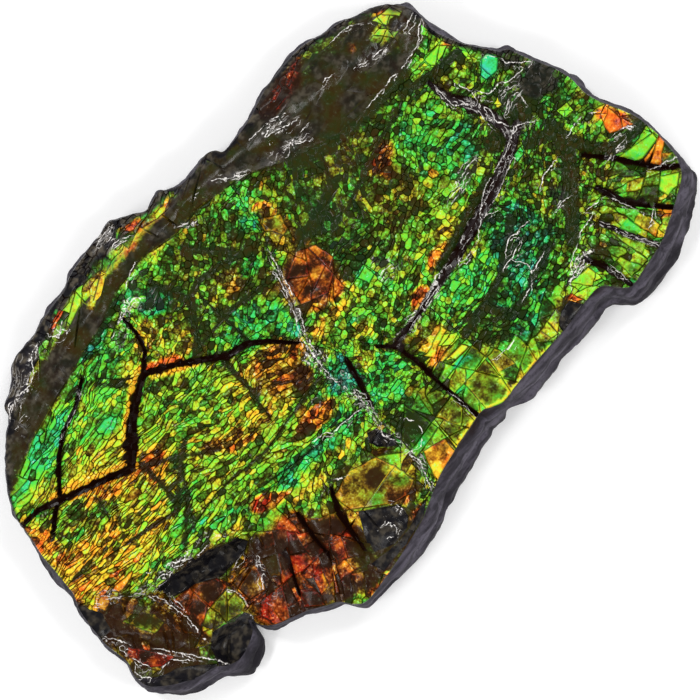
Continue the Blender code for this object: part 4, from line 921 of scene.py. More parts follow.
def strongest(x, y, ovals, softness):
    """The strength of the strongest soft oval at each place, and how far across that oval the place lies."""
    best, across = np.zeros(len(x)), np.zeros(len(x))
    wild_x, wild_y = ragged(x, y)
    for *place, strength in ovals.values():
        value = strength * smooth_step((1.0 + softness - oval(wild_x, wild_y, *place)) / (2.0 * softness))
        turn = math.radians(place[4])
        offset = (y - place[1]) * math.cos(turn) - (x - place[0]) * math.sin(turn)
        across = np.where(value > best, offset, across)
        best = np.maximum(best, value)
    return best, across


def facet_at(x, y, outlines):
    """The number of the outline that each place lies in, or -1."""
    number = np.full(len(x), -1)
    for index, corners in enumerate(outlines):
        number[depth_inside(x, y, corners) > 0.0] = index
    return number


def shoulder_share(x, y):
    """1 on the smooth shoulder, falling to 0 beside it."""
    centre, half, _ = shoulder_at(x)
    reach, fade = SHOULDER_PAINT
    return smooth_step((reach - np.abs(y - centre) / half) / fade)


def noise_at(x, y, size, seed, octaves):
    """Smooth noise from about -1 to 1, with lumps of a size."""
    value = np.zeros(len(x))
    for octave in range(octaves):
        scale = 2.0 ** octave / size
        depth = seed + OCTAVE_SEED * octave
        value += 0.5 ** octave * np.array([noise.noise(Vector((a * scale, b * scale, depth)))
                                           for a, b in zip(x, y)])
    return value * NOISE_GAIN


def wave(x, y, name):
    return noise_at(x, y, *WAVES[name])


# The face's pieces

BRIGHT_CORNERS = [row[0] for row in BRIGHT_FACETS.values()]
GRID_LOW = (-64.0, -42.0)
GRID_HIGH = (64.0, 42.0)
# The size of tiles beside a groove as a share of others, what it gains away from it, and within how far
GROOVE_GRAIN = (0.78, 0.22, 3.0)
ON_CUT = 1e-4  # a corner as near to a cut as this lies on it
# A piece is small enough below some number in this range, times the size asked for
TILE_RANGE = (0.85, 1.7)
# Where along a piece its cut falls, and by how many degrees it may be askew
CUT_SHARE = (0.36, 0.64)
CUT_SKEW = 18.0
# No piece of the face reaches further than this from its first corner
LONGEST_REACH = 7.0


def grain_map():
    """The grain at each whole millimetre of the plan, as a table to look it up from."""
    xs, ys = (np.arange(low, high + 1) for low, high in zip(GRID_LOW, GRID_HIGH))
    x, y = (part.ravel() for part in np.meshgrid(xs, ys, indexing="ij"))
    values = painted(x, y, WHOLE_GRAIN, GRAIN, SHOULDER_GRAIN, EDGE_GRAIN)
    near = distance_to_lines(x, y, [line for line, _, _ in GROOVES.values()])
    beside, gain, reach = GROOVE_GRAIN
    values[:, 1:3] *= (beside + gain * smooth_step(near / reach))[:, None]
    values[facet_at(x, y, BRIGHT_CORNERS) >= 0] = BRIGHT_GRAIN
    values[facet_at(x, y, DARK_FACETS.values()) >= 0] = DARK_GRAIN
    return values.reshape(len(xs), len(ys), 4)


def look_up(grain, x, y):
    """The grain at a place: the tiles' direction, length and width, and how open the cracks are."""
    column = min(max(round(x - GRID_LOW[0]), 0), grain.shape[0] - 1)
    row = min(max(round(y - GRID_LOW[1]), 0), grain.shape[1] - 1)
    return grain[column, row]


def openness(grain, x, y):
    """How open the cracks are at each place."""
    return np.array([look_up(grain, a, b)[3] for a, b in zip(x, y)])


def cut_face(bm, face, point, normal):
    """Cuts one face with an upright plane, and returns its pieces."""
    sides = [(loop.vert.co.x - point[0]) * normal[0] + (loop.vert.co.y - point[1]) * normal[1]
             for loop in face.loops]
    crossed = [(loop, side, after) for loop, side, after in zip(face.loops, sides, sides[1:] + sides[:1])
               if (side < 0) != (after < 0)]
    if len(crossed) > 2:
        geom = [face, *face.edges, *face.verts]
        plane = {"plane_co": (*point, 0.0), "plane_no": (*normal, 0.0)}
        cut = bmesh.ops.bisect_plane(bm, geom=geom, dist=ON_CUT, **plane)
        lines = [part for part in cut["geom_cut"] if isinstance(part, bmesh.types.BMEdge)]
        return list(dict.fromkeys(piece for line in lines for piece in line.link_faces)) or [face]
    ends = [bmesh.utils.edge_split(edge, vert, share)[1] for edge, vert, share in
            [(loop.edge, loop.vert, side / (side - after)) for loop, side, after in crossed]]
    if len(ends) < 2:
        return [face]
    return [face, bmesh.utils.face_split(face, *ends)[0]]


def fracture(bm, faces, size_at, draw, limits=TILE_RANGE, skew=CUT_SKEW):
    """Halves each face until it is about as small as size_at says: direction, length and width."""
    waiting = [(face, draw.uniform(*limits)) for face in faces]
    done = []
    while waiting:
        face, limit = waiting.pop()
        corners = [vert.co for vert in face.verts]
        middle_x = sum(c.x for c in corners) / len(corners)
        middle_y = sum(c.y for c in corners) / len(corners)
        direction, length, width = size_at(middle_x, middle_y)[:3]
        turn = math.radians(direction)
        c, s = math.cos(turn), math.sin(turn)
        along = [corner.x * c + corner.y * s for corner in corners]
        across = [corner.y * c - corner.x * s for corner in corners]
        ratios = (max(along) - min(along)) / length, (max(across) - min(across)) / width
        if max(ratios) < limit:
            done.append(face)
            continue
        if ratios[0] > ratios[1]:
            run, axis = along, turn
        else:
            run, axis = across, turn + math.pi / 2
        low, high = min(run), max(run)
        share = draw.uniform(*CUT_SHARE)
        centre = (low + high) / 2
        place = low + (high - low) * share - centre
        point = (middle_x + place * math.cos(axis), middle_y + place * math.sin(axis))
        axis += math.radians(draw.uniform(-skew, skew))
        pieces = cut_face(bm, face, point, (math.cos(axis), math.sin(axis)))
        if len(pieces) < 2:
            done.append(face)
            continue
        waiting += [(piece, draw.uniform(*limits)) for piece in pieces]
    return done


def cut_along(bm, line, least):
    """Cuts the faces that a line of points crosses for at least a share of their width, along it."""
    for (x0, y0), (x1, y1) in zip(line, line[1:]):
        length = math.hypot(x1 - x0, y1 - y0)
        ux, uy = (x1 - x0) / length, (y1 - y0) / length
        crossed = []
        for face in bm.faces:
            first = face.verts[0].co
            if abs((first.x - x0) * uy - (first.y - y0) * ux) > LONGEST_REACH:
                continue
            spans = []
            corners = [(vert.co.x - x0, vert.co.y - y0) for vert in face.verts]
            for (ax, ay), (bx, by) in zip(corners, corners[1:] + corners[:1]):
                side_a, side_b = ax * uy - ay * ux, bx * uy - by * ux
                if (side_a < 0) != (side_b < 0):
                    share = side_a / (side_a - side_b)
                    spans.append((ax + share * (bx - ax)) * ux + (ay + share * (by - ay)) * uy)
            if not spans:
                continue
            overlap = min(max(spans), length) - max(min(spans), 0.0)
            if overlap > least * (max(spans) - min(spans)):
                crossed.append(face)
        for face in crossed:
            cut_face(bm, face, (x0, y0), (-uy, ux))


def flat_outline(bm):
    """The shell face's outline, as one flat face."""
    verts = [bm.verts.new((x, y, 0.0)) for x, y, _ in closed_curve(FACE_EDGE)]
    edges = [bm.edges.new(pair) for pair in zip(verts, verts[1:] + verts[:1])]
    return bmesh.ops.contextual_create(bm, geom=edges)["faces"]


# From flat pieces to the slab

SEED = 11
# What the finish goes by, stored at the corners of faces and at vertices
CORNER_FACTS = ("film", "lit", "crack", "bare", "broad")
# Of these, edge marks tile rims beside the cracks, which the shell's finish paints with a highlight on broad
# facets
VERT_FACTS = ("edge", "frost", "across", "line", "pale")

# The first, bolder breaks: how much larger they are than the tiles, and their limits, in the grain's order
COARSE = (1.0, 2.6, 2.6, 1.0)
COARSEST = (180.0, 9.0, 9.0, 9.0)
# The least share of a face's width that a facet's edge or a drawn crack has to cross to cut it
FACET_CROSSING = 0.03
CRACK_CROSSING = 0.35
SHOULDER_FOOT = 1.1  # where the crack at the shoulder's foot runs, in half widths from its middle
# How bold cracks are: those of the first breaks, the fine ones, and those among rows of long tiles
COARSE_BOLD = (0.55, 1.0)
FINE_BOLD = (0.08, 0.62)
ROW_BOLD = (0.0, 0.22)
ROW_BOLDER = 0.55  # added along the rows
# Rounding: how near a mark a vertex stays in place, the largest tile that is rounded, and the pull
ON_MARK = 0.05
ROUNDED_AREA = 4.5
ROUNDING = 0.45

# The waves that bend the cuts: their size, their reach, and a seed
WARP = ((9.0, 0.9, 3.0), (2.6, 0.25, 11.0), (1.1, 0.10, 17.0))
WARP_SEEDS = (0.0, 50.0)  # added to it along and across the plan
WARP_CALM = 2.5  # how near to a mark the cuts are bent less
CALM_RIM = 0.3  # how much further off that is at the face's edge
LONGEST_CUT = 0.85  # a longer one is bent in parts
CUT_JITTER = 0.16  # the share of a cut's length that its ends may be moved by
SEAM_MERGE = 0.13

# Parting: the widths of the slopes down into the cracks, for small to large tiles, and their share of a tile
INSETS = (0.08, 0.12, 0.17, 0.24)
INSET_SHARE = 0.12
LEAST_WIDTH = 1.7  # a narrower tile, in widths of its slopes, gets none
IN_GAP = 0.05  # what is as near as this to a bold gap is in it
# The size of the mesh on large tiles, which tiles are large, in cells, and how that mesh is cut
CELL = 0.85
LARGE_CELLS = 2.4
CELL_RANGE = (1.2, 1.5)
CELL_SKEW = 10.0

# Heights
CRACK_DEPTH = 0.20
CRACK_BY_BOLD = (0.6, 0.7)  # the faintest crack's share of the depth, and what boldness adds
CRACK_WAVE = 0.4
CRACK_BY_SHINE = (0.25, 0.75, 0.25)  # a dull place's share, what shine adds, and the shine that adds it all
GAP_DEPTH = 0.35
GAP_FALL = (0.2, 0.3)  # how far outside a gap its slope begins, and how long it is
GAP_WAVE = 0.3
FARTHEST_PUSH = 1.2  # of a tile's top out of a gap
TILE_LIFT = 0.05
TILE_TILT = 0.06
TOP_LIFT = 0.05  # of the middle of a tile above its rim
CALM_TILE = 1.1  # tiles longer than this move less
# Crumples: everywhere, and more on the shoulder and on the crumpled patches
FINE_CRUMPLE = (0.015, 0.05, 0.09)
BROAD_CRUMPLE = (0.05, 0.10)
CREASE_SOFTNESS = 0.35
LINE_SOFTNESS = 1.5  # how far a drawn soft line reaches, in half widths
OPEN_GAIN = 1.6  # tiles differ most where this times the openness of the cracks is 1 or more
PALE_FROM = (14.0, 8.0)  # the y from which bare rock is paler, and how far on it is palest
# How far everything stays below the CAD part's top, and inside its box
TOP_SPARE = 0.02
BOX_SPARE = 0.02

# Colours
LIT = 0.55  # the shine of shell that has 1 in COLOURS
FILM_WAVE = 0.08
RIM_FILM_WAVE = 0.04
RIM_PAINT = (1.3, 0.6)
RIM_LIT = 0.95
FACET_WAVE = (0.07, 0.25)  # in a bright facet's film and shine
BARE_SOFTNESS = 0.12
BARE_EDGE = (0.5, 0.5)  # the waviness of the upper edge's bare rock, and how softly it ends
SHOULDER_WORN = (0.7, 0.4, 1.2)  # the most, and how it follows the noise
FILM_SHIFT = 0.07
SHINE_BY_PLACE = 0.35  # the rest goes tile by tile
DULL_SHIFT = 0.35  # how much of its shift in shine a tile without shine keeps
BROAD_TILE = (1.4, 1.6)  # the size from which a tile is broad, and how much more makes it quite broad

# The side and the underside
SIDE_RINGS = 16
CHIP = 2.6
CHIP_STRETCH = 1.5  # how much flatter than wide the chips are
BED = (9.0, 1.6)  # the length of the beds, and how close they lie
BED_SHARE = 0.9
CHIP_SHARE = 1.6
CHIP_LEVEL = 0.9  # what the chips take on average
MOST_CHIPPED = 0.35
FOOT = 0.02  # no chips below this share of the height
WIDE_SIDE = (1.0, 0.9)  # the spread from which the side is pale, and how much more makes it palest
BASE_CELL = 4.0
BASE_HOLLOW = 0.3
BASE_LAND = (2.5, 5.0)  # how wide the rim is that the slab rests on, and the slope inside it
ON_TABLE = 1e-6  # a vertex as low as this is on the underside
SHARP = 30.0  # the bend in degrees from which an edge is sharp


def plan_points(parts):
    return np.array([part.co[:2] for part in parts])


def drawn_cracks():
    """The lines that the face is cut along, once the first breaks are made."""
    lines = [line for line, _, _ in GROOVES.values()] + list(HAIR_CRACKS.values())
    foot = [(x, centre - SHOULDER_FOOT * half) for x, centre, half, _ in SHOULDER[1:-1]]
    return lines + [foot, [point[:2] for point in DARK_GAPS["seam_side"]]]


def facet_edges():
    return [corners + corners[:1] for corners in list(DARK_FACETS.values()) + BRIGHT_CORNERS]


def distance_to_marks(x, y):
    """How far each place is from the drawn cracks and from the facets' edges."""
    return distance_to_lines(x, y, drawn_cracks() + facet_edges())


def bend_cuts(bm, draw):
    """Bends the straight cuts a little, except at the face's edge and along the drawn cracks."""
    for edge in list(bm.edges):
        parts = int(edge.calc_length() / LONGEST_CUT)
        for part in range(parts if not edge.is_boundary else 0):
            edge = bmesh.utils.edge_split(edge, edge.verts[0], 1.0 / (parts + 1 - part))[0]
    x, y = plan_points(bm.verts).T
    calm = smooth_step(np.minimum(distance_to_edge(x, y) - CALM_RIM, distance_to_marks(x, y)) / WARP_CALM)
    shift = np.zeros((len(x), 2))
    for size, reach, seed in WARP:
        for side, more in enumerate(WARP_SEEDS):
            shift[:, side] += reach * calm * noise_at(x, y, size, seed + more, 1)
    for vert, move in zip(bm.verts, shift):
        if not vert.is_boundary:
            own = CUT_JITTER * min(1.0, *(edge.calc_length() for edge in vert.link_edges))
            vert.co.x += move[0] + draw.uniform(-own, own)
            vert.co.y += move[1] + draw.uniform(-own, own)


def gap_reach(x, y):
    """How far each place lies outside the bold gaps' own width, and the way out of the nearest one."""
    best, way = np.full(len(x), 1e9), np.zeros((len(x), 2))
    uneven = 1.0 + GAP_WAVE * wave(x, y, "gap_width")
    for line in DARK_GAPS.values():
        distance, found, _ = nearest_on(x, y, line)
        outside = distance - found[:, 2] * uneven
        closer = outside < best
        best = np.where(closer, outside, best)
        away = np.column_stack([x, y]) - found[:, :2]
        away /= np.maximum(np.linalg.norm(away, axis=1, keepdims=True), 1e-6)
        way = np.where(closer[:, None], away, way)
    return best, way


def add_layers(bm):
    """The layers for what is stored, made first because a new layer unsettles faces that are kept hold of."""
    bm.edges.layers.float.new("bold")
    bm.faces.layers.int.new("tile")
    bm.verts.layers.int.new("number")
    for name in CORNER_FACTS:
        bm.loops.layers.float.new(name)
    for name in VERT_FACTS:
        bm.verts.layers.float.new(name)


def round_cells(bm):
    """Pulls the ends of the cuts in among their neighbours, which makes the tiles rounder."""
    verts = [vert for vert in bm.verts if not vert.is_boundary]
    near = distance_to_marks(*plan_points(verts).T)
    free = [vert for vert, distance in zip(verts, near)
            if distance > ON_MARK and max(face.calc_area() for face in vert.link_faces) < ROUNDED_AREA]
    bmesh.ops.smooth_vert(bm, verts=free, factor=ROUNDING, use_axis_x=True, use_axis_y=True)


def row_boldness(edge, grain, draw):
    """How bold a fine crack is: among long tiles, those between the rows are bolder than those across."""
    middle = (edge.verts[0].co + edge.verts[1].co) / 2.0
    direction, length, width, _ = look_up(grain, middle.x, middle.y)
    run = edge.verts[1].co - edge.verts[0].co
    along = abs(math.cos(math.atan2(run.y, run.x) - math.radians(direction)))
    rows = min(1.0, length / width - 1.0)
    plain = draw.uniform(*FINE_BOLD) * (1.0 - rows)
    return plain + rows * (draw.uniform(*ROW_BOLD) + ROW_BOLDER * along ** 3)


def break_face(bm, grain, draw):
    """Breaks the face's outline into tiles."""
    fracture(bm, flat_outline(bm), lambda x, y: np.minimum(look_up(grain, x, y) * COARSE, COARSEST), draw)
    for line in facet_edges():
        cut_along(bm, line, FACET_CROSSING)
    for line in drawn_cracks():
        cut_along(bm, line, CRACK_CROSSING)
    bold = bm.edges.layers.float["bold"]
    for edge in bm.edges:
        edge[bold] = draw.uniform(*COARSE_BOLD)
    fracture(bm, list(bm.faces), lambda x, y: look_up(grain, x, y), draw)
    for edge in bm.edges:
        if edge[bold] == 0.0:
            edge[bold] = row_boldness(edge, grain, draw)
    round_cells(bm)
    bend_cuts(bm, draw)
    inner = [vert for vert in bm.verts if not vert.is_boundary]
    bmesh.ops.remove_doubles(bm, verts=inner, dist=SEAM_MERGE)
    bmesh.ops.delete(bm, geom=[edge for edge in bm.edges if edge.is_wire], context="EDGES")
    bmesh.ops.delete(bm, geom=[vert for vert in bm.verts if not vert.link_faces], context="VERTS")
    bmesh.ops.recalc_face_normals(bm, faces=bm.faces)


def part_tiles(bm, grain, draw):
    """Parts the tiles: slopes down into the cracks round each, and a finer mesh on each top."""
    tile = bm.faces.layers.int["tile"]
    faces = list(bm.faces)
    centres = np.array([face.calc_center_median()[:2] for face in faces])
    areas = np.array([face.calc_area() for face in faces])
    in_gap = gap_reach(*centres.T)[0] < IN_GAP
    groups = {width: [] for width in INSETS}
    for index, (face, area, gap) in enumerate(zip(faces, areas, in_gap)):
        face[tile] = index
        width = min(INSETS, key=lambda inset: abs(inset - INSET_SHARE * math.sqrt(area)))
        if not gap and 2.0 * area / face.calc_perimeter() > LEAST_WIDTH * width:
            groups[width].append(face)
    bold = bm.edges.layers.float["bold"]
    seams = {vert: max(edge[bold] for edge in vert.link_edges) for vert in bm.verts}
    for width, group in groups.items():
        bmesh.ops.inset_individual(bm, faces=group, thickness=width, use_even_offset=False)
    tops = [face for group in groups.values() for face in group]
    large = [face for face in tops if face.calc_area() > LARGE_CELLS * CELL * CELL]
    small = set(tops) - set(large)
    fracture(bm, large, lambda x, y: (look_up(grain, x, y)[0], CELL, CELL), draw, CELL_RANGE, CELL_SKEW)
    bmesh.ops.poke(bm, faces=[face for face in tops if face in small])
    return centres, areas, seams


def line_offset(x, y):
    """How far to one side of the nearest white line each place is."""
    best, offset = np.full(len(x), WHITE_LINE_REACH), np.full(len(x), NO_LINE)
    for line in WHITE_LINES:
        distance, _, side = nearest_on(x, y, line)
        offset = np.where(distance < best, distance * side, offset)
        best = np.minimum(best, distance)
    return offset


def creased(x, y):
    """How strongly creased each place is, and how far across that crumpled patch or line it lies."""
    frost, across = strongest(x, y, FROST, CREASE_SOFTNESS)
    for line, half, strength in FROST_LINES.values():
        distance, _, side = nearest_on(x, y, line)
        value = strength * smooth_step(LINE_SOFTNESS - distance / half)
        across = np.where(value > frost, distance * side, across)
        frost = np.maximum(frost, value)
    return frost, across


def crumples(x, y, frost):
    """The height of small crumples."""
    share = shoulder_share(x, y)
    least, worn, patch = FINE_CRUMPLE
    fine = wave(x, y, "fine_crumple") * (worn * share + patch * np.minimum(frost, 1.0) + least)
    least, worn = BROAD_CRUMPLE
    return fine + wave(x, y, "broad_crumple") * (worn * share + least)


def crack_drop(x, y, bold, lit, open_by, in_gap):
    """How far below the tiles the cracks and the bold gaps lie."""
    least, more = CRACK_BY_BOLD
    drop = CRACK_DEPTH * open_by * (least + more * bold) * (1.0 + CRACK_WAVE * wave(x, y, "crack_depth"))
    least, more, shine = CRACK_BY_SHINE
    drop *= least + more * smooth_step(lit / shine)
    return drop + GAP_DEPTH * in_gap


def tile_moves(centres, areas, grain, draw):
    """How far each tile is lifted and tilted, and how free it is to move."""
    free = np.minimum(1.0, CALM_TILE / np.sqrt(areas))
    free *= np.minimum(1.0, openness(grain, *centres.T) + 0.1)
    lift = TILE_LIFT * free * np.array([draw.gauss(0.0, 1.0) for _ in areas])
    slopes = np.array([(draw.gauss(0.0, 1.0), draw.gauss(0.0, 1.0)) for _ in areas])
    return lift, TILE_TILT * slopes * free[:, None], free


def raise_face(bm, grain, centres, areas, seams, top, draw):
    """Lifts every vertex to its height, each tile a little tilted, and stores what the finish goes by."""
    tile = bm.faces.layers.int["tile"]
    layers = {name: bm.verts.layers.float[name] for name in VERT_FACTS}
    verts = list(bm.verts)
    x, y = plan_points(verts).T
    outside, way = gap_reach(x, y)
    seam = np.array([vert in seams for vert in verts])
    bold = np.array([seams.get(vert, 0.0) for vert in verts])
    beside = np.array([any(other.verts[0] in seams or other.verts[1] in seams for other in vert.link_edges)
                       for vert in verts])
    push = np.where(seam, 0.0, np.clip(IN_GAP - outside, 0.0, FARTHEST_PUSH))
    x, y = x + way[:, 0] * push, y + way[:, 1] * push

    own = np.array([vert.link_faces[0][tile] for vert in verts])
    lift, tilt, free = tile_moves(centres, areas, grain, draw)
    away = np.column_stack([x, y]) - centres[own]
    frost, across = creased(x, y)
    open_by = openness(grain, x, y)
    open_share = smooth_step(open_by * OPEN_GAIN)
    in_gap = smooth_step((GAP_FALL[0] - outside) / GAP_FALL[1])
    film, lit = colour_field(x, y)
    drop = crack_drop(x, y, bold, lit, open_by, in_gap)
    rise = lift[own] + (tilt[own] * away).sum(1) + TOP_LIFT * ~beside * free[own]
    height = face_relief(x, y) + crumples(x, y, frost) + np.where(seam, -drop, rise)
    height = np.minimum(height, top)

    pale = smooth_step((y - PALE_FROM[0]) / PALE_FROM[1])
    facts = dict(zip(VERT_FACTS, ((beside & ~seam) * open_share, frost, across, line_offset(x, y), pale)))
    for index, vert in enumerate(verts):
        vert.co = (x[index], y[index], height[index])
        for name, layer in layers.items():
            vert[layer] = float(facts[name][index])
    return x, y, film, lit, open_share, in_gap


def bare_rock(x, y):
    """How bare of shell each place is, apart from the dark facets."""
    waviness, softness = BARE_EDGE
    wide = np.interp(x, *np.array(EDGE_ROCK).T) * (1.0 + waviness * wave(x, y, "edge_rock"))
    edge = smooth_step((wide - distance_to_edge(x, y)) / softness + 0.5) * (y > EDGE_ROCK_FROM)
    most, start, gain = SHOULDER_WORN
    worn = most * shoulder_share(x, y) * smooth_step(start + gain * wave(x, y, "worn_shoulder"))
    return np.max([strongest(x, y, BARE_ROCK, BARE_SOFTNESS)[0], edge, worn], 0)


def colour_field(x, y):
    """The film's colour and the shell's shine at each place."""
    film, share = painted(x, y, WHOLE_COLOUR, COLOURS, SHOULDER_COLOUR, EDGE_COLOURS).T
    film = film + FILM_WAVE * wave(x, y, "film")
    lit = LIT * share
    for line, half, dark in list(SHADOWS.values()) + [(line, *HAIR_SHADE) for line in HAIR_CRACKS.values()]:
        lit -= dark * smooth_step(LINE_SOFTNESS - distance_to(x, y, line) / half)
    return film, lit


def glowing_rims(x, y):
    """How strongly the bright rims show at each place, and the film's colour in them."""
    cover, film = np.zeros(len(x)), np.zeros(len(x))
    reach, fade = RIM_PAINT
    for line, side, width, rim_film in GLOWING_RIMS.values():
        distance, _, on = nearest_on(x, y, line)
        new = smooth_step((reach - distance / width) / fade) * ((on == side) | (side == 0))
        film = np.where(new > cover, rim_film, film)
        cover = np.maximum(cover, new)
    return cover, film + RIM_FILM_WAVE * wave(x, y, "rim_film")


def tile_shifts(centres, areas, grain, draw):
    """How far each tile's own colour and shine are from those of its place, and how broad it is."""
    x, y = centres.T
    own = np.minimum(1.0, OPEN_GAIN * openness(grain, x, y))
    film = own * FILM_SHIFT * np.array([draw.gauss(0.0, 1.0) for _ in areas])
    rank = SHINE_BY_PLACE * (0.5 + 0.30 * wave(x, y, "tile_shine"))
    rank = rank + (1.0 - SHINE_BY_PLACE) * np.array([draw.random() for _ in areas])
    broad = smooth_step((np.sqrt(areas) - BROAD_TILE[0]) / BROAD_TILE[1])
    lit = own * (0.5 - rank) * (1.2 - 0.6 * broad)
    return film, lit, broad


def store_corners(bm, seams, places, centres, areas, grain, draw):
    """Stores at each corner of each tile what the finish goes by there."""
    x, y, film, lit, open_share, in_gap = places
    rim, rim_film = glowing_rims(x, y)
    bare = bare_rock(x, y)
    marble = wave(x, y, "marble")
    shift_film, shift_lit, broad = tile_shifts(centres, areas, grain, draw)
    dark, bright = (facet_at(*centres.T, outlines) for outlines in (DARK_FACETS.values(), BRIGHT_CORNERS))
    facets = [row[1:] for row in BRIGHT_FACETS.values()]
    tile, bold = bm.faces.layers.int["tile"], bm.edges.layers.float["bold"]
    layers = [bm.loops.layers.float[name] for name in CORNER_FACTS]
    for face in bm.faces:
        own = face[tile]
        cracks = [edge[bold] for edge in face.edges if edge.verts[0] in seams and edge.verts[1] in seams]
        boldest = max(cracks, default=0.0)
        facet_film, facet_lit = facets[bright[own]] if bright[own] >= 0 else (None, None)
        for loop in face.loops:
            at = loop.vert.index
            crack = 1.5 * in_gap[at]
            if loop.vert in seams:
                crack = max(boldest * open_share[at], 2.0 * in_gap[at])
            colour = film[at] + shift_film[own]
            shine = lit[at] + shift_lit[own] * (DULL_SHIFT + (1.0 - DULL_SHIFT) * lit[at] / LIT)
            if facet_film is not None:
                colour = facet_film + FACET_WAVE[0] * marble[at]
                shine = facet_lit + FACET_WAVE[1] * marble[at]
            colour += rim[at] * (rim_film[at] - colour)
            shine += rim[at] * (RIM_LIT - shine)
            values = (colour, shine, crack, max(bare[at], dark[own] >= 0), broad[own])
            for layer, value in zip(layers, values):
                loop[layer] = float(value)


def side_lumps(ring, rough, chipped):
    """How far the rock stands out at each place of a ring: lumps, and beds with chips broken out of them."""
    lumps, cracks = [], []
    for place in ring:
        x, y, height = place
        broad, small = (noise.noise(Vector(place) * times / SIDE_LUMP) for times in (1.0, 2.3))
        bed = noise.noise(Vector((x / BED[0], y / BED[0], BED[1] * height)))
        chip = noise.voronoi(Vector((x, y, CHIP_STRETCH * height)) / CHIP)[0][0]
        lumps.append(rough * (broad + 0.5 * small))
        cracks.append(BED_SHARE * bed - CHIP_SHARE * chip + CHIP_LEVEL)
    return np.array(lumps) + chipped * np.array(cracks)


def side_shape(rim):
    """Where the rock below the face's edge runs, ring after ring, from the rim's places and heights."""
    profile = np.array(SIDE_PROFILE).T
    at = np.linspace(0.0, profile.shape[1] - 1.0, SIDE_RINGS + 1)[1:]
    outs, ups, roughs = (np.interp(at, range(profile.shape[1]), row) for row in profile)
    curve = [tuple(point) for point in closed_curve(FACE_EDGE)]
    spread = nearest_on(rim[:, 0], rim[:, 1], curve + curve[:1])[1][:, 2]
    spine = np.clip(rim[:, 0], *SPINE_ENDS)
    ways = np.column_stack([rim[:, 0] - spine, rim[:, 1] - SPINE_Y])
    ways /= np.linalg.norm(ways, axis=1, keepdims=True)
    pale = smooth_step((spread - WIDE_SIDE[0]) / WIDE_SIDE[1])
    spread = spread + WIDE_SPREAD * pale + np.interp(rim[:, 1], *zip(*SPREAD_BY_Y))
    low, high = (np.array(corner[:2]) / MM + DRAWN_MIDDLE for corner in cad_box)
    low, high = low + BOX_SPARE, high - BOX_SPARE
    for out, up, rough in zip(outs, ups, roughs):
        ring = np.column_stack([rim[:, :2] + ways * spread[:, None] * out, rim[:, 2] * up])
        ring[:, :2] += ways * side_lumps(ring, rough, min(rough, MOST_CHIPPED) * (up > FOOT))[:, None]
        ring[:, :2] = np.clip(ring[:, :2], low, high)
        yield ring, pale


def add_side(bm):
    """Grows the rock down from the rim, and closes the slab below."""
    number, pale = bm.verts.layers.int["number"], bm.verts.layers.float["pale"]
    run = [edge for edge in bm.edges if edge.is_boundary]
    rim = list({vert for edge in run for vert in edge.verts})
    rim.sort(key=lambda vert: vert.index)
    for index, vert in enumerate(rim):
        vert[number] = index
    shell = set(bm.faces)
    for ring, wide in side_shape(np.array([vert.co for vert in rim])):
        grown = bmesh.ops.extrude_edge_only(bm, edges=run)["geom"]
        new = {part for part in grown if isinstance(part, bmesh.types.BMVert)}
        for vert in new:
            vert.co = ring[vert[number]]
            vert[pale] = float(wide[vert[number]])
        run = [part for part in grown if isinstance(part, bmesh.types.BMEdge) and set(part.verts) <= new]
    base = bmesh.ops.contextual_create(bm, geom=run)["faces"]
    return shell, base


def hollow_base(bm, base, draw):
    """Breaks the underside into faces, and hollows it a little inside the rim that it rests on."""
    land = set(base[0].verts)
    faces = fracture(bm, base, lambda x, y: (0.0, BASE_CELL, BASE_CELL), draw)
    verts = {vert for face in faces for vert in face.verts}
    verts = sorted((vert for vert in verts if vert not in land), key=lambda vert: tuple(vert.co))
    x, y = plan_points(verts).T
    inside = smooth_step((distance_to_edge(x, y) - BASE_LAND[0]) / BASE_LAND[1])
    hollow = BASE_HOLLOW * inside * (0.6 + 0.6 * wave(x, y, "hollow"))
    for vert, height in zip(verts, np.maximum(hollow, 0.0)):
        vert.co.z = height if abs(vert.co.z) < ON_TABLE else vert.co.z


def add_object(name, data):
    made = bpy.data.objects.new(name, data)
    bpy.context.scene.collection.objects.link(made)
    return made


def add_mesh(name, bm):
    """Turns what was built into an object."""
    mesh = bpy.data.meshes.new(name)
    bm.to_mesh(mesh)
    bm.free()
    return add_object(name, mesh)


def slab_piece():
    """The slab as one closed mesh, in metres about the part's own middle."""
    draw = random.Random(SEED)
    grain = grain_map()
    bm = bmesh.new()
    add_layers(bm)
    break_face(bm, grain, draw)
    centres, areas, seams = part_tiles(bm, grain, draw)
    bm.verts.index_update()
    places = raise_face(bm, grain, centres, areas, seams, cad_box[1][2] / MM - TOP_SPARE, draw)
    store_corners(bm, seams, places, centres, areas, grain, draw)
    shell, base = add_side(bm)
    hollow_base(bm, base, draw)

    for face in bm.faces:
        face.smooth = True
        face.material_index = 0 if face in shell else 1
    bmesh.ops.recalc_face_normals(bm, faces=bm.faces)
    bmesh.ops.translate(bm, verts=bm.verts, vec=(-DRAWN_MIDDLE[0], -DRAWN_MIDDLE[1], 0.0))
    bmesh.ops.scale(bm, verts=bm.verts, vec=(MM,) * 3)
    for edge in bm.edges:
        edge.smooth = edge.calc_face_angle(0.0) < math.radians(SHARP)
    return add_mesh("ammolite_slab_surface", bm)


# Finish

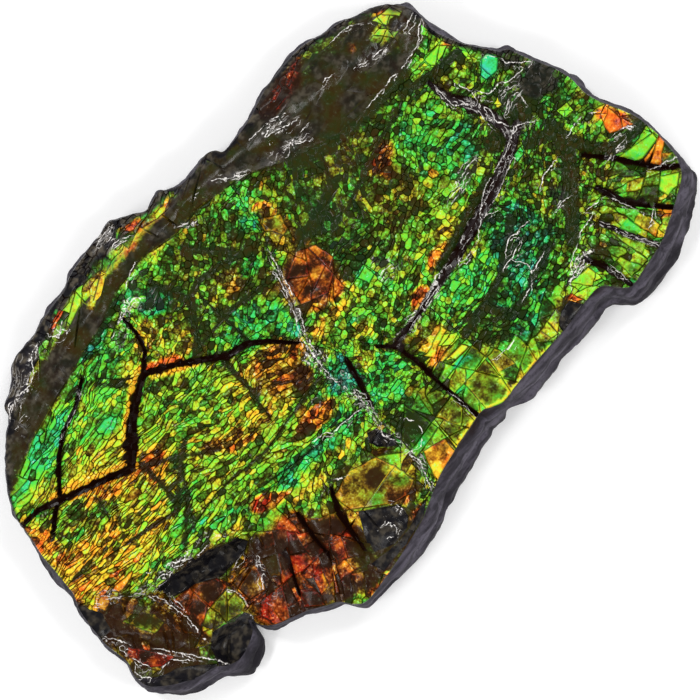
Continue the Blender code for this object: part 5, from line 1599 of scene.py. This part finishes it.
# The film's colours, from 0 to 1
FILM = [
    (0.00, (0.50, 0.022, 0.006)),
    (0.14, (0.82, 0.16, 0.012)),
    (0.28, (0.92, 0.42, 0.02)),
    (0.40, (0.80, 0.68, 0.03)),
    (0.50, (0.47, 0.75, 0.03)),
    (0.62, (0.18, 0.70, 0.03)),
    (0.76, (0.045, 0.62, 0.07)),
    (0.88, (0.035, 0.60, 0.23)),
    (1.00, (0.05, 0.52, 0.42)),
]
SMOKY = (0.007, 0.0055, 0.001, 1.0)  # shell that doesn't shine
CRACK = (0.008, 0.002, 0.001, 1.0)
# White for mineral, and for the painted glints of creases
CALCITE_AND_GLINT = (0.92, 0.88, 0.84, 1.0)
# Pale for the painted glints on bright tiles
PALE = (0.62, 0.80, 0.50, 1.0)
BARE = (0.005, 0.0045, 0.006, 1.0)
ROUGH = (0.085, 0.070, 0.048, 1.0)  # the worn grains of bare rock
LILAC = (0.07, 0.06, 0.075, 1.0)
SIDE_LIGHT = (0.095, 0.085, 0.110, 1.0)
SIDE_DARK = (0.014, 0.012, 0.016, 1.0)
STONE_SPECULAR = 0.12
SHELL_COAT = 0.05
SHELL_COAT_ROUGHNESS = 0.10
# The side's foot is painted darker as shade, and it lightens above it
# The heights above the table, in millimetres, between which the side grows lighter, then dark near the face
SIDE_LIGHTER = (4.2, 6.8)
SIDE_DARKER = (9.6, 11.2)


class Shade:
    """One socket of a shader tree, with Python's operators as its maths."""

    def __init__(self, tree, socket=None):
        self.tree = tree
        self.socket = socket

    def node(self, kind, settings=None, values=None, output=0):
        """A new node of a type, with its settings, then its sockets' values or links."""
        made = self.tree.nodes.new(kind)
        for name, value in (settings or {}).items():
            setattr(made, name, value)
        for name, value in (values or {}).items():
            if isinstance(value, Shade):
                self.tree.links.new(value.socket, made.inputs[name])
            else:
                made.inputs[name].default_value = value
        return Shade(self.tree, made.outputs[output])

    def maths(self, operation, first, second):
        return self.node("ShaderNodeMath", {"operation": operation}, {0: first, 1: second})

    def __add__(self, other):
        return self.maths("ADD", self, other)

    def __radd__(self, other):
        return self.maths("ADD", other, self)

    def __sub__(self, other):
        return self.maths("SUBTRACT", self, other)

    def __rsub__(self, other):
        return self.maths("SUBTRACT", other, self)

    def __mul__(self, other):
        return self.maths("MULTIPLY", self, other)

    def __rmul__(self, other):
        return self.maths("MULTIPLY", other, self)

    def __abs__(self):
        return self.maths("ABSOLUTE", self, 0.0)

    def ramp(self, low, high):
        """0 to 1 as this goes from low to high, smoothly."""
        return self.node("ShaderNodeMapRange", {"interpolation_type": "SMOOTHSTEP"},
                         {"Value": self, "From Min": low, "From Max": high})

    def blend(self, first, second, factor):
        """A colour from one to another, by a factor from 0 to 1."""
        return self.node("ShaderNodeMix", {"data_type": "RGBA"}, {0: factor, 6: first, 7: second}, 2)

    def mix(self, other, factor):
        """This colour, changed to another by a factor."""
        return self.blend(self, other, factor)


def new_material(name):
    """A new material, a socket wrapper for its tree, and its shader."""
    made = bpy.data.materials.new(name)
    made.use_nodes = True
    return made, Shade(made.node_tree), made.node_tree.nodes["Principled BSDF"]


def place_in(tree):
    """The place on the object, in metres."""
    return tree.node("ShaderNodeTexCoord", output=3)


def speckle(tree, size, detail=2.0, along=1.0):
    """Noise with lumps of a size in millimetres, longer along the slab by a factor, from 0 to 1."""
    squeeze = (1.0 / along, 1.0, 1.0)
    place = tree.node("ShaderNodeVectorMath", {"operation": "MULTIPLY"}, {0: place_in(tree), 1: squeeze})
    values = {"Vector": place, "Scale": 1.0 / (size * MM), "Detail": detail}
    return tree.node("ShaderNodeTexNoise", {}, values)


def stored(tree, name):
    """A fact that the mesh holds."""
    return tree.node("ShaderNodeAttribute", {"attribute_name": name}, output=2)


def film_colours(tree, film):
    """A colour ramp over the film's colours."""
    shade = tree.node("ShaderNodeValToRGB", {}, {0: film})
    ramp = shade.socket.node.color_ramp
    ramp.elements[0].color = (*FILM[0][1], 1.0)
    ramp.elements[1].position = FILM[-1][0]
    ramp.elements[1].color = (*FILM[-1][1], 1.0)
    for place, value in FILM[1:-1]:
        ramp.elements.new(place).color = (*value, 1.0)
    return shade


def connect(shade, target):
    shade.tree.links.new(shade.socket, target)


def add_bump(tree, height, distance, strength, shader):
    connect(tree.node("ShaderNodeBump", {}, {"Height": height, "Distance": distance, "Strength": strength}),
            shader.inputs["Normal"])


def creases(tree, frost, across, small, wide, long):
    """White creases on crumpled patches, part white mineral and part painted glints: strokes that run along
    the patch, and hair lines all ways.
    """
    turns = across * 1.4 + (wide - 0.5) * 4.0 + (small - 0.5) * 0.9
    strokes = (1.0 - tree.maths("PINGPONG", turns, 0.5) * 7.0) * long.ramp(0.46, 0.54)
    hairs = (1.0 - abs(speckle(tree, 1.2, 1.0) - 0.5) * 34.0) * wide.ramp(0.50, 0.58)
    return tree.maths("MAXIMUM", strokes, hairs).ramp(0.0, 0.5) * frost.ramp(0.3, 0.9)


def white_threads(tree, line, small, tiny, wide, long):
    """The drawn white lines, painted glints where creases catch the light, wavy and broken up, with fainter
    ones beside them.
    """
    line = line + (small - 0.5) * 0.7 + (tiny - 0.5) * 0.35
    drawn = (1.0 - abs(line) * (7.0 + long * 7.0)).ramp(0.0, 0.6) * wide.ramp(0.38, 0.46)
    beside = (1.0 - abs(line + (wide - 0.5) * 2.0 + 0.45) * 14.0).ramp(0.0, 0.6) * long.ramp(0.50, 0.56)
    return tree.maths("MAXIMUM", drawn, beside * 0.8) * (0.35 + tiny.ramp(0.38, 0.56) * 0.65)


def shell_material():
    made, tree, shader = new_material("shell")
    small, tiny, wide, long = (speckle(tree, size, 1.5) for size in (0.9, 0.34, 2.8, 1.7))
    film, lit, crack, bare, broad = (stored(tree, name) for name in CORNER_FACTS)
    edge, frost, across, line, pale = (stored(tree, name) for name in VERT_FACTS)

    # The film's colour, and how brightly it shows
    film = film + ((small - 0.5) * 0.45 + (tiny - 0.5) * 0.25) * (1.0 - broad * 0.3)
    film = film + broad * ((wide - 0.5) * 0.5 - edge * 0.06)
    patchy = ((small - 0.5) * 2.6 + (tiny - 0.5) * 2.2) * (1.0 - broad * 0.4) + broad * (wide - 0.5) * 1.8
    lit = lit - broad * 0.08
    # Painted highlight on the rims of broad facets beside the cracks; the rims of small tiles are a little
    # darker
    glow = (lit + patchy * (0.16 + lit * 0.60) + edge * (broad * 0.3 - 0.06)).ramp(0.08, 0.84) * 0.975 + 0.025
    shown = tree.blend(SMOKY, film_colours(tree, film), glow)
    # Painted glints: pale specks on the brighter tiles
    glint_specks = tiny.ramp(0.58, 0.74) * small.ramp(0.45, 0.6)
    shown = shown.mix(PALE, glint_specks * (glow * 0.6 + 0.08) * (1.0 - broad * 0.5))

    # Bare rock, and the cracks
    shown = shown.mix(BARE, bare)
    worn = long.ramp(0.40, 0.60) * (0.2 + small.ramp(0.35, 0.7) * 0.8)
    shown = shown.mix(ROUGH, bare * worn * (0.55 + pale * 0.45))
    fine = crack.ramp(0.0, 0.6) * (0.25 + glow.ramp(0.0, 0.3) * 0.7) * (1.0 - broad * 0.45)
    shown = shown.mix(CRACK, fine + crack.ramp(1.0, 1.6))

    # White mineral, and the painted glints of creases
    shown = shown.mix(LILAC, frost.ramp(0.25, 1.05) * 0.25)
    white = creases(tree, frost, across, small, wide, long) * (0.5 + tiny.ramp(0.38, 0.56) * 0.5)
    threads = white_threads(tree, line, small, tiny, wide, long)
    shown = shown.mix(CALCITE_AND_GLINT, tree.maths("MAXIMUM", white, threads))

    connect(shown, shader.inputs["Base Color"])
    connect(0.20 + small.ramp(0.3, 0.7) * 0.18, shader.inputs["Roughness"])
    shader.inputs["Specular IOR Level"].default_value = STONE_SPECULAR
    shader.inputs["Coat Weight"].default_value = SHELL_COAT
    shader.inputs["Coat Roughness"].default_value = SHELL_COAT_ROUGHNESS
    add_bump(tree, small * 0.6 + tiny * 0.4, 0.15 * MM, 0.4, shader)
    return made


def rock_material():
    made, tree, shader = new_material("dark_rock")
    height = tree.node("ShaderNodeSeparateXYZ", {}, {0: place_in(tree)}, 2)
    grainy, broad, beds = speckle(tree, 0.5, 4.0), speckle(tree, 5.0, 3.0), speckle(tree, 1.3, 3.0, 6.0)
    level = height * (1.0 / MM) + (broad - 0.5) * 5.0
    pale, streaks = stored(tree, "pale"), beds.ramp(0.36, 0.66)
    # Painted shade: the wide side is darker towards its foot and lighter higher up, and the beds streak it
    light = level.ramp(*SIDE_LIGHTER) * pale * (0.16 + streaks * 0.84) + (1.0 - pale) * (0.12 + streaks * 0.5)
    shown = tree.blend(SIDE_DARK, SIDE_LIGHT, light)
    shown = shown.mix(CRACK, level.ramp(*SIDE_DARKER) * (0.4 + pale * 0.5))
    shown = shown.mix(SIDE_DARK, grainy.ramp(0.52, 0.7) * 0.5)
    connect(shown, shader.inputs["Base Color"])
    connect(0.55 + grainy * 0.25, shader.inputs["Roughness"])
    shader.inputs["Specular IOR Level"].default_value = STONE_SPECULAR
    add_bump(tree, grainy * 0.4 + beds * 1.2, 0.3 * MM, 0.6, shader)
    return made


# The stage

FLOOR_SIZE = 6.0
FLOOR_COLOUR = (0.92, 0.92, 0.92, 1.0)
FLOOR_GLOW = 0.15
WORLD_COLOUR = (1.0, 1.0, 1.0, 1.0)
WORLD_STRENGTH = 0.35
# Soft lights: the way to each on the plan, its height above the horizon and how wide it looks, in degrees;
# then its strength
LIGHTS = {
    "upper": (92.0, 50.0, 16.0, 1.0),
    "upper_right": (20.0, 46.0, 26.0, 0.7),
    "lower_right": (-52.0, 46.0, 16.0, 0.8),
    "lower_left": (-124.0, 48.0, 26.0, 0.7),
    "left": (164.0, 48.0, 16.0, 0.8),
}
# The picture's middle on the drawn plan, how wide the picture is there, in metres, and its turn in degrees
VIEW_MIDDLE = (0.905, -4.92)
VIEW_WIDTH = 0.112
VIEW_TURN = -45.0
LENS = 180.0
SENSOR = 36.0


def add_floor():
    bm = bmesh.new()
    bmesh.ops.create_grid(bm, x_segments=1, y_segments=1, size=FLOOR_SIZE / 2)
    floor = add_mesh("floor", bm)
    made, _, shader = new_material("pale_floor")
    shader.inputs["Base Color"].default_value = FLOOR_COLOUR
    shader.inputs["Roughness"].default_value = 1.0
    shader.inputs["Specular IOR Level"].default_value = 0.0
    shader.inputs["Emission Color"].default_value = FLOOR_COLOUR
    shader.inputs["Emission Strength"].default_value = FLOOR_GLOW
    floor.data.materials.append(made)
    return floor


def add_lights():
    for name, (turn, rise, width, strength) in LIGHTS.items():
        light = bpy.data.lights.new(name, "SUN")
        light.angle = math.radians(width)
        light.energy = strength
        made = add_object(name, light)
        turn, rise = math.radians(turn), math.radians(rise)
        way = Vector((math.cos(turn) * math.cos(rise), math.sin(turn) * math.cos(rise), math.sin(rise)))
        made.location = way
        made.rotation_euler = way.to_track_quat("Z", "Y").to_euler()
    world = bpy.data.worlds.new("studio")
    world.use_nodes = True
    background = world.node_tree.nodes["Background"]
    background.inputs["Color"].default_value = WORLD_COLOUR
    background.inputs["Strength"].default_value = WORLD_STRENGTH
    bpy.context.scene.world = world


def add_camera():
    """A camera straight above the face, far enough off for its long lens."""
    data = bpy.data.cameras.new("camera")
    data.lens = LENS
    data.sensor_width = SENSOR
    camera = add_object("camera", data)
    height = FACE_HEIGHT * MM + VIEW_WIDTH * LENS / SENSOR
    middle = [(drawn - shift) * MM for drawn, shift in zip(VIEW_MIDDLE, DRAWN_MIDDLE)]
    camera.location = (*middle, height)
    camera.rotation_euler = (0.0, 0.0, math.radians(VIEW_TURN))
    bpy.context.scene.camera = camera


piece = slab_piece()
piece.data.materials.append(shell_material())
piece.data.materials.append(rock_material())
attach(piece, "root")
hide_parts(NODE)

add_floor()
add_lights()
add_camera()
bpy.context.scene.view_settings.view_transform = "Standard"
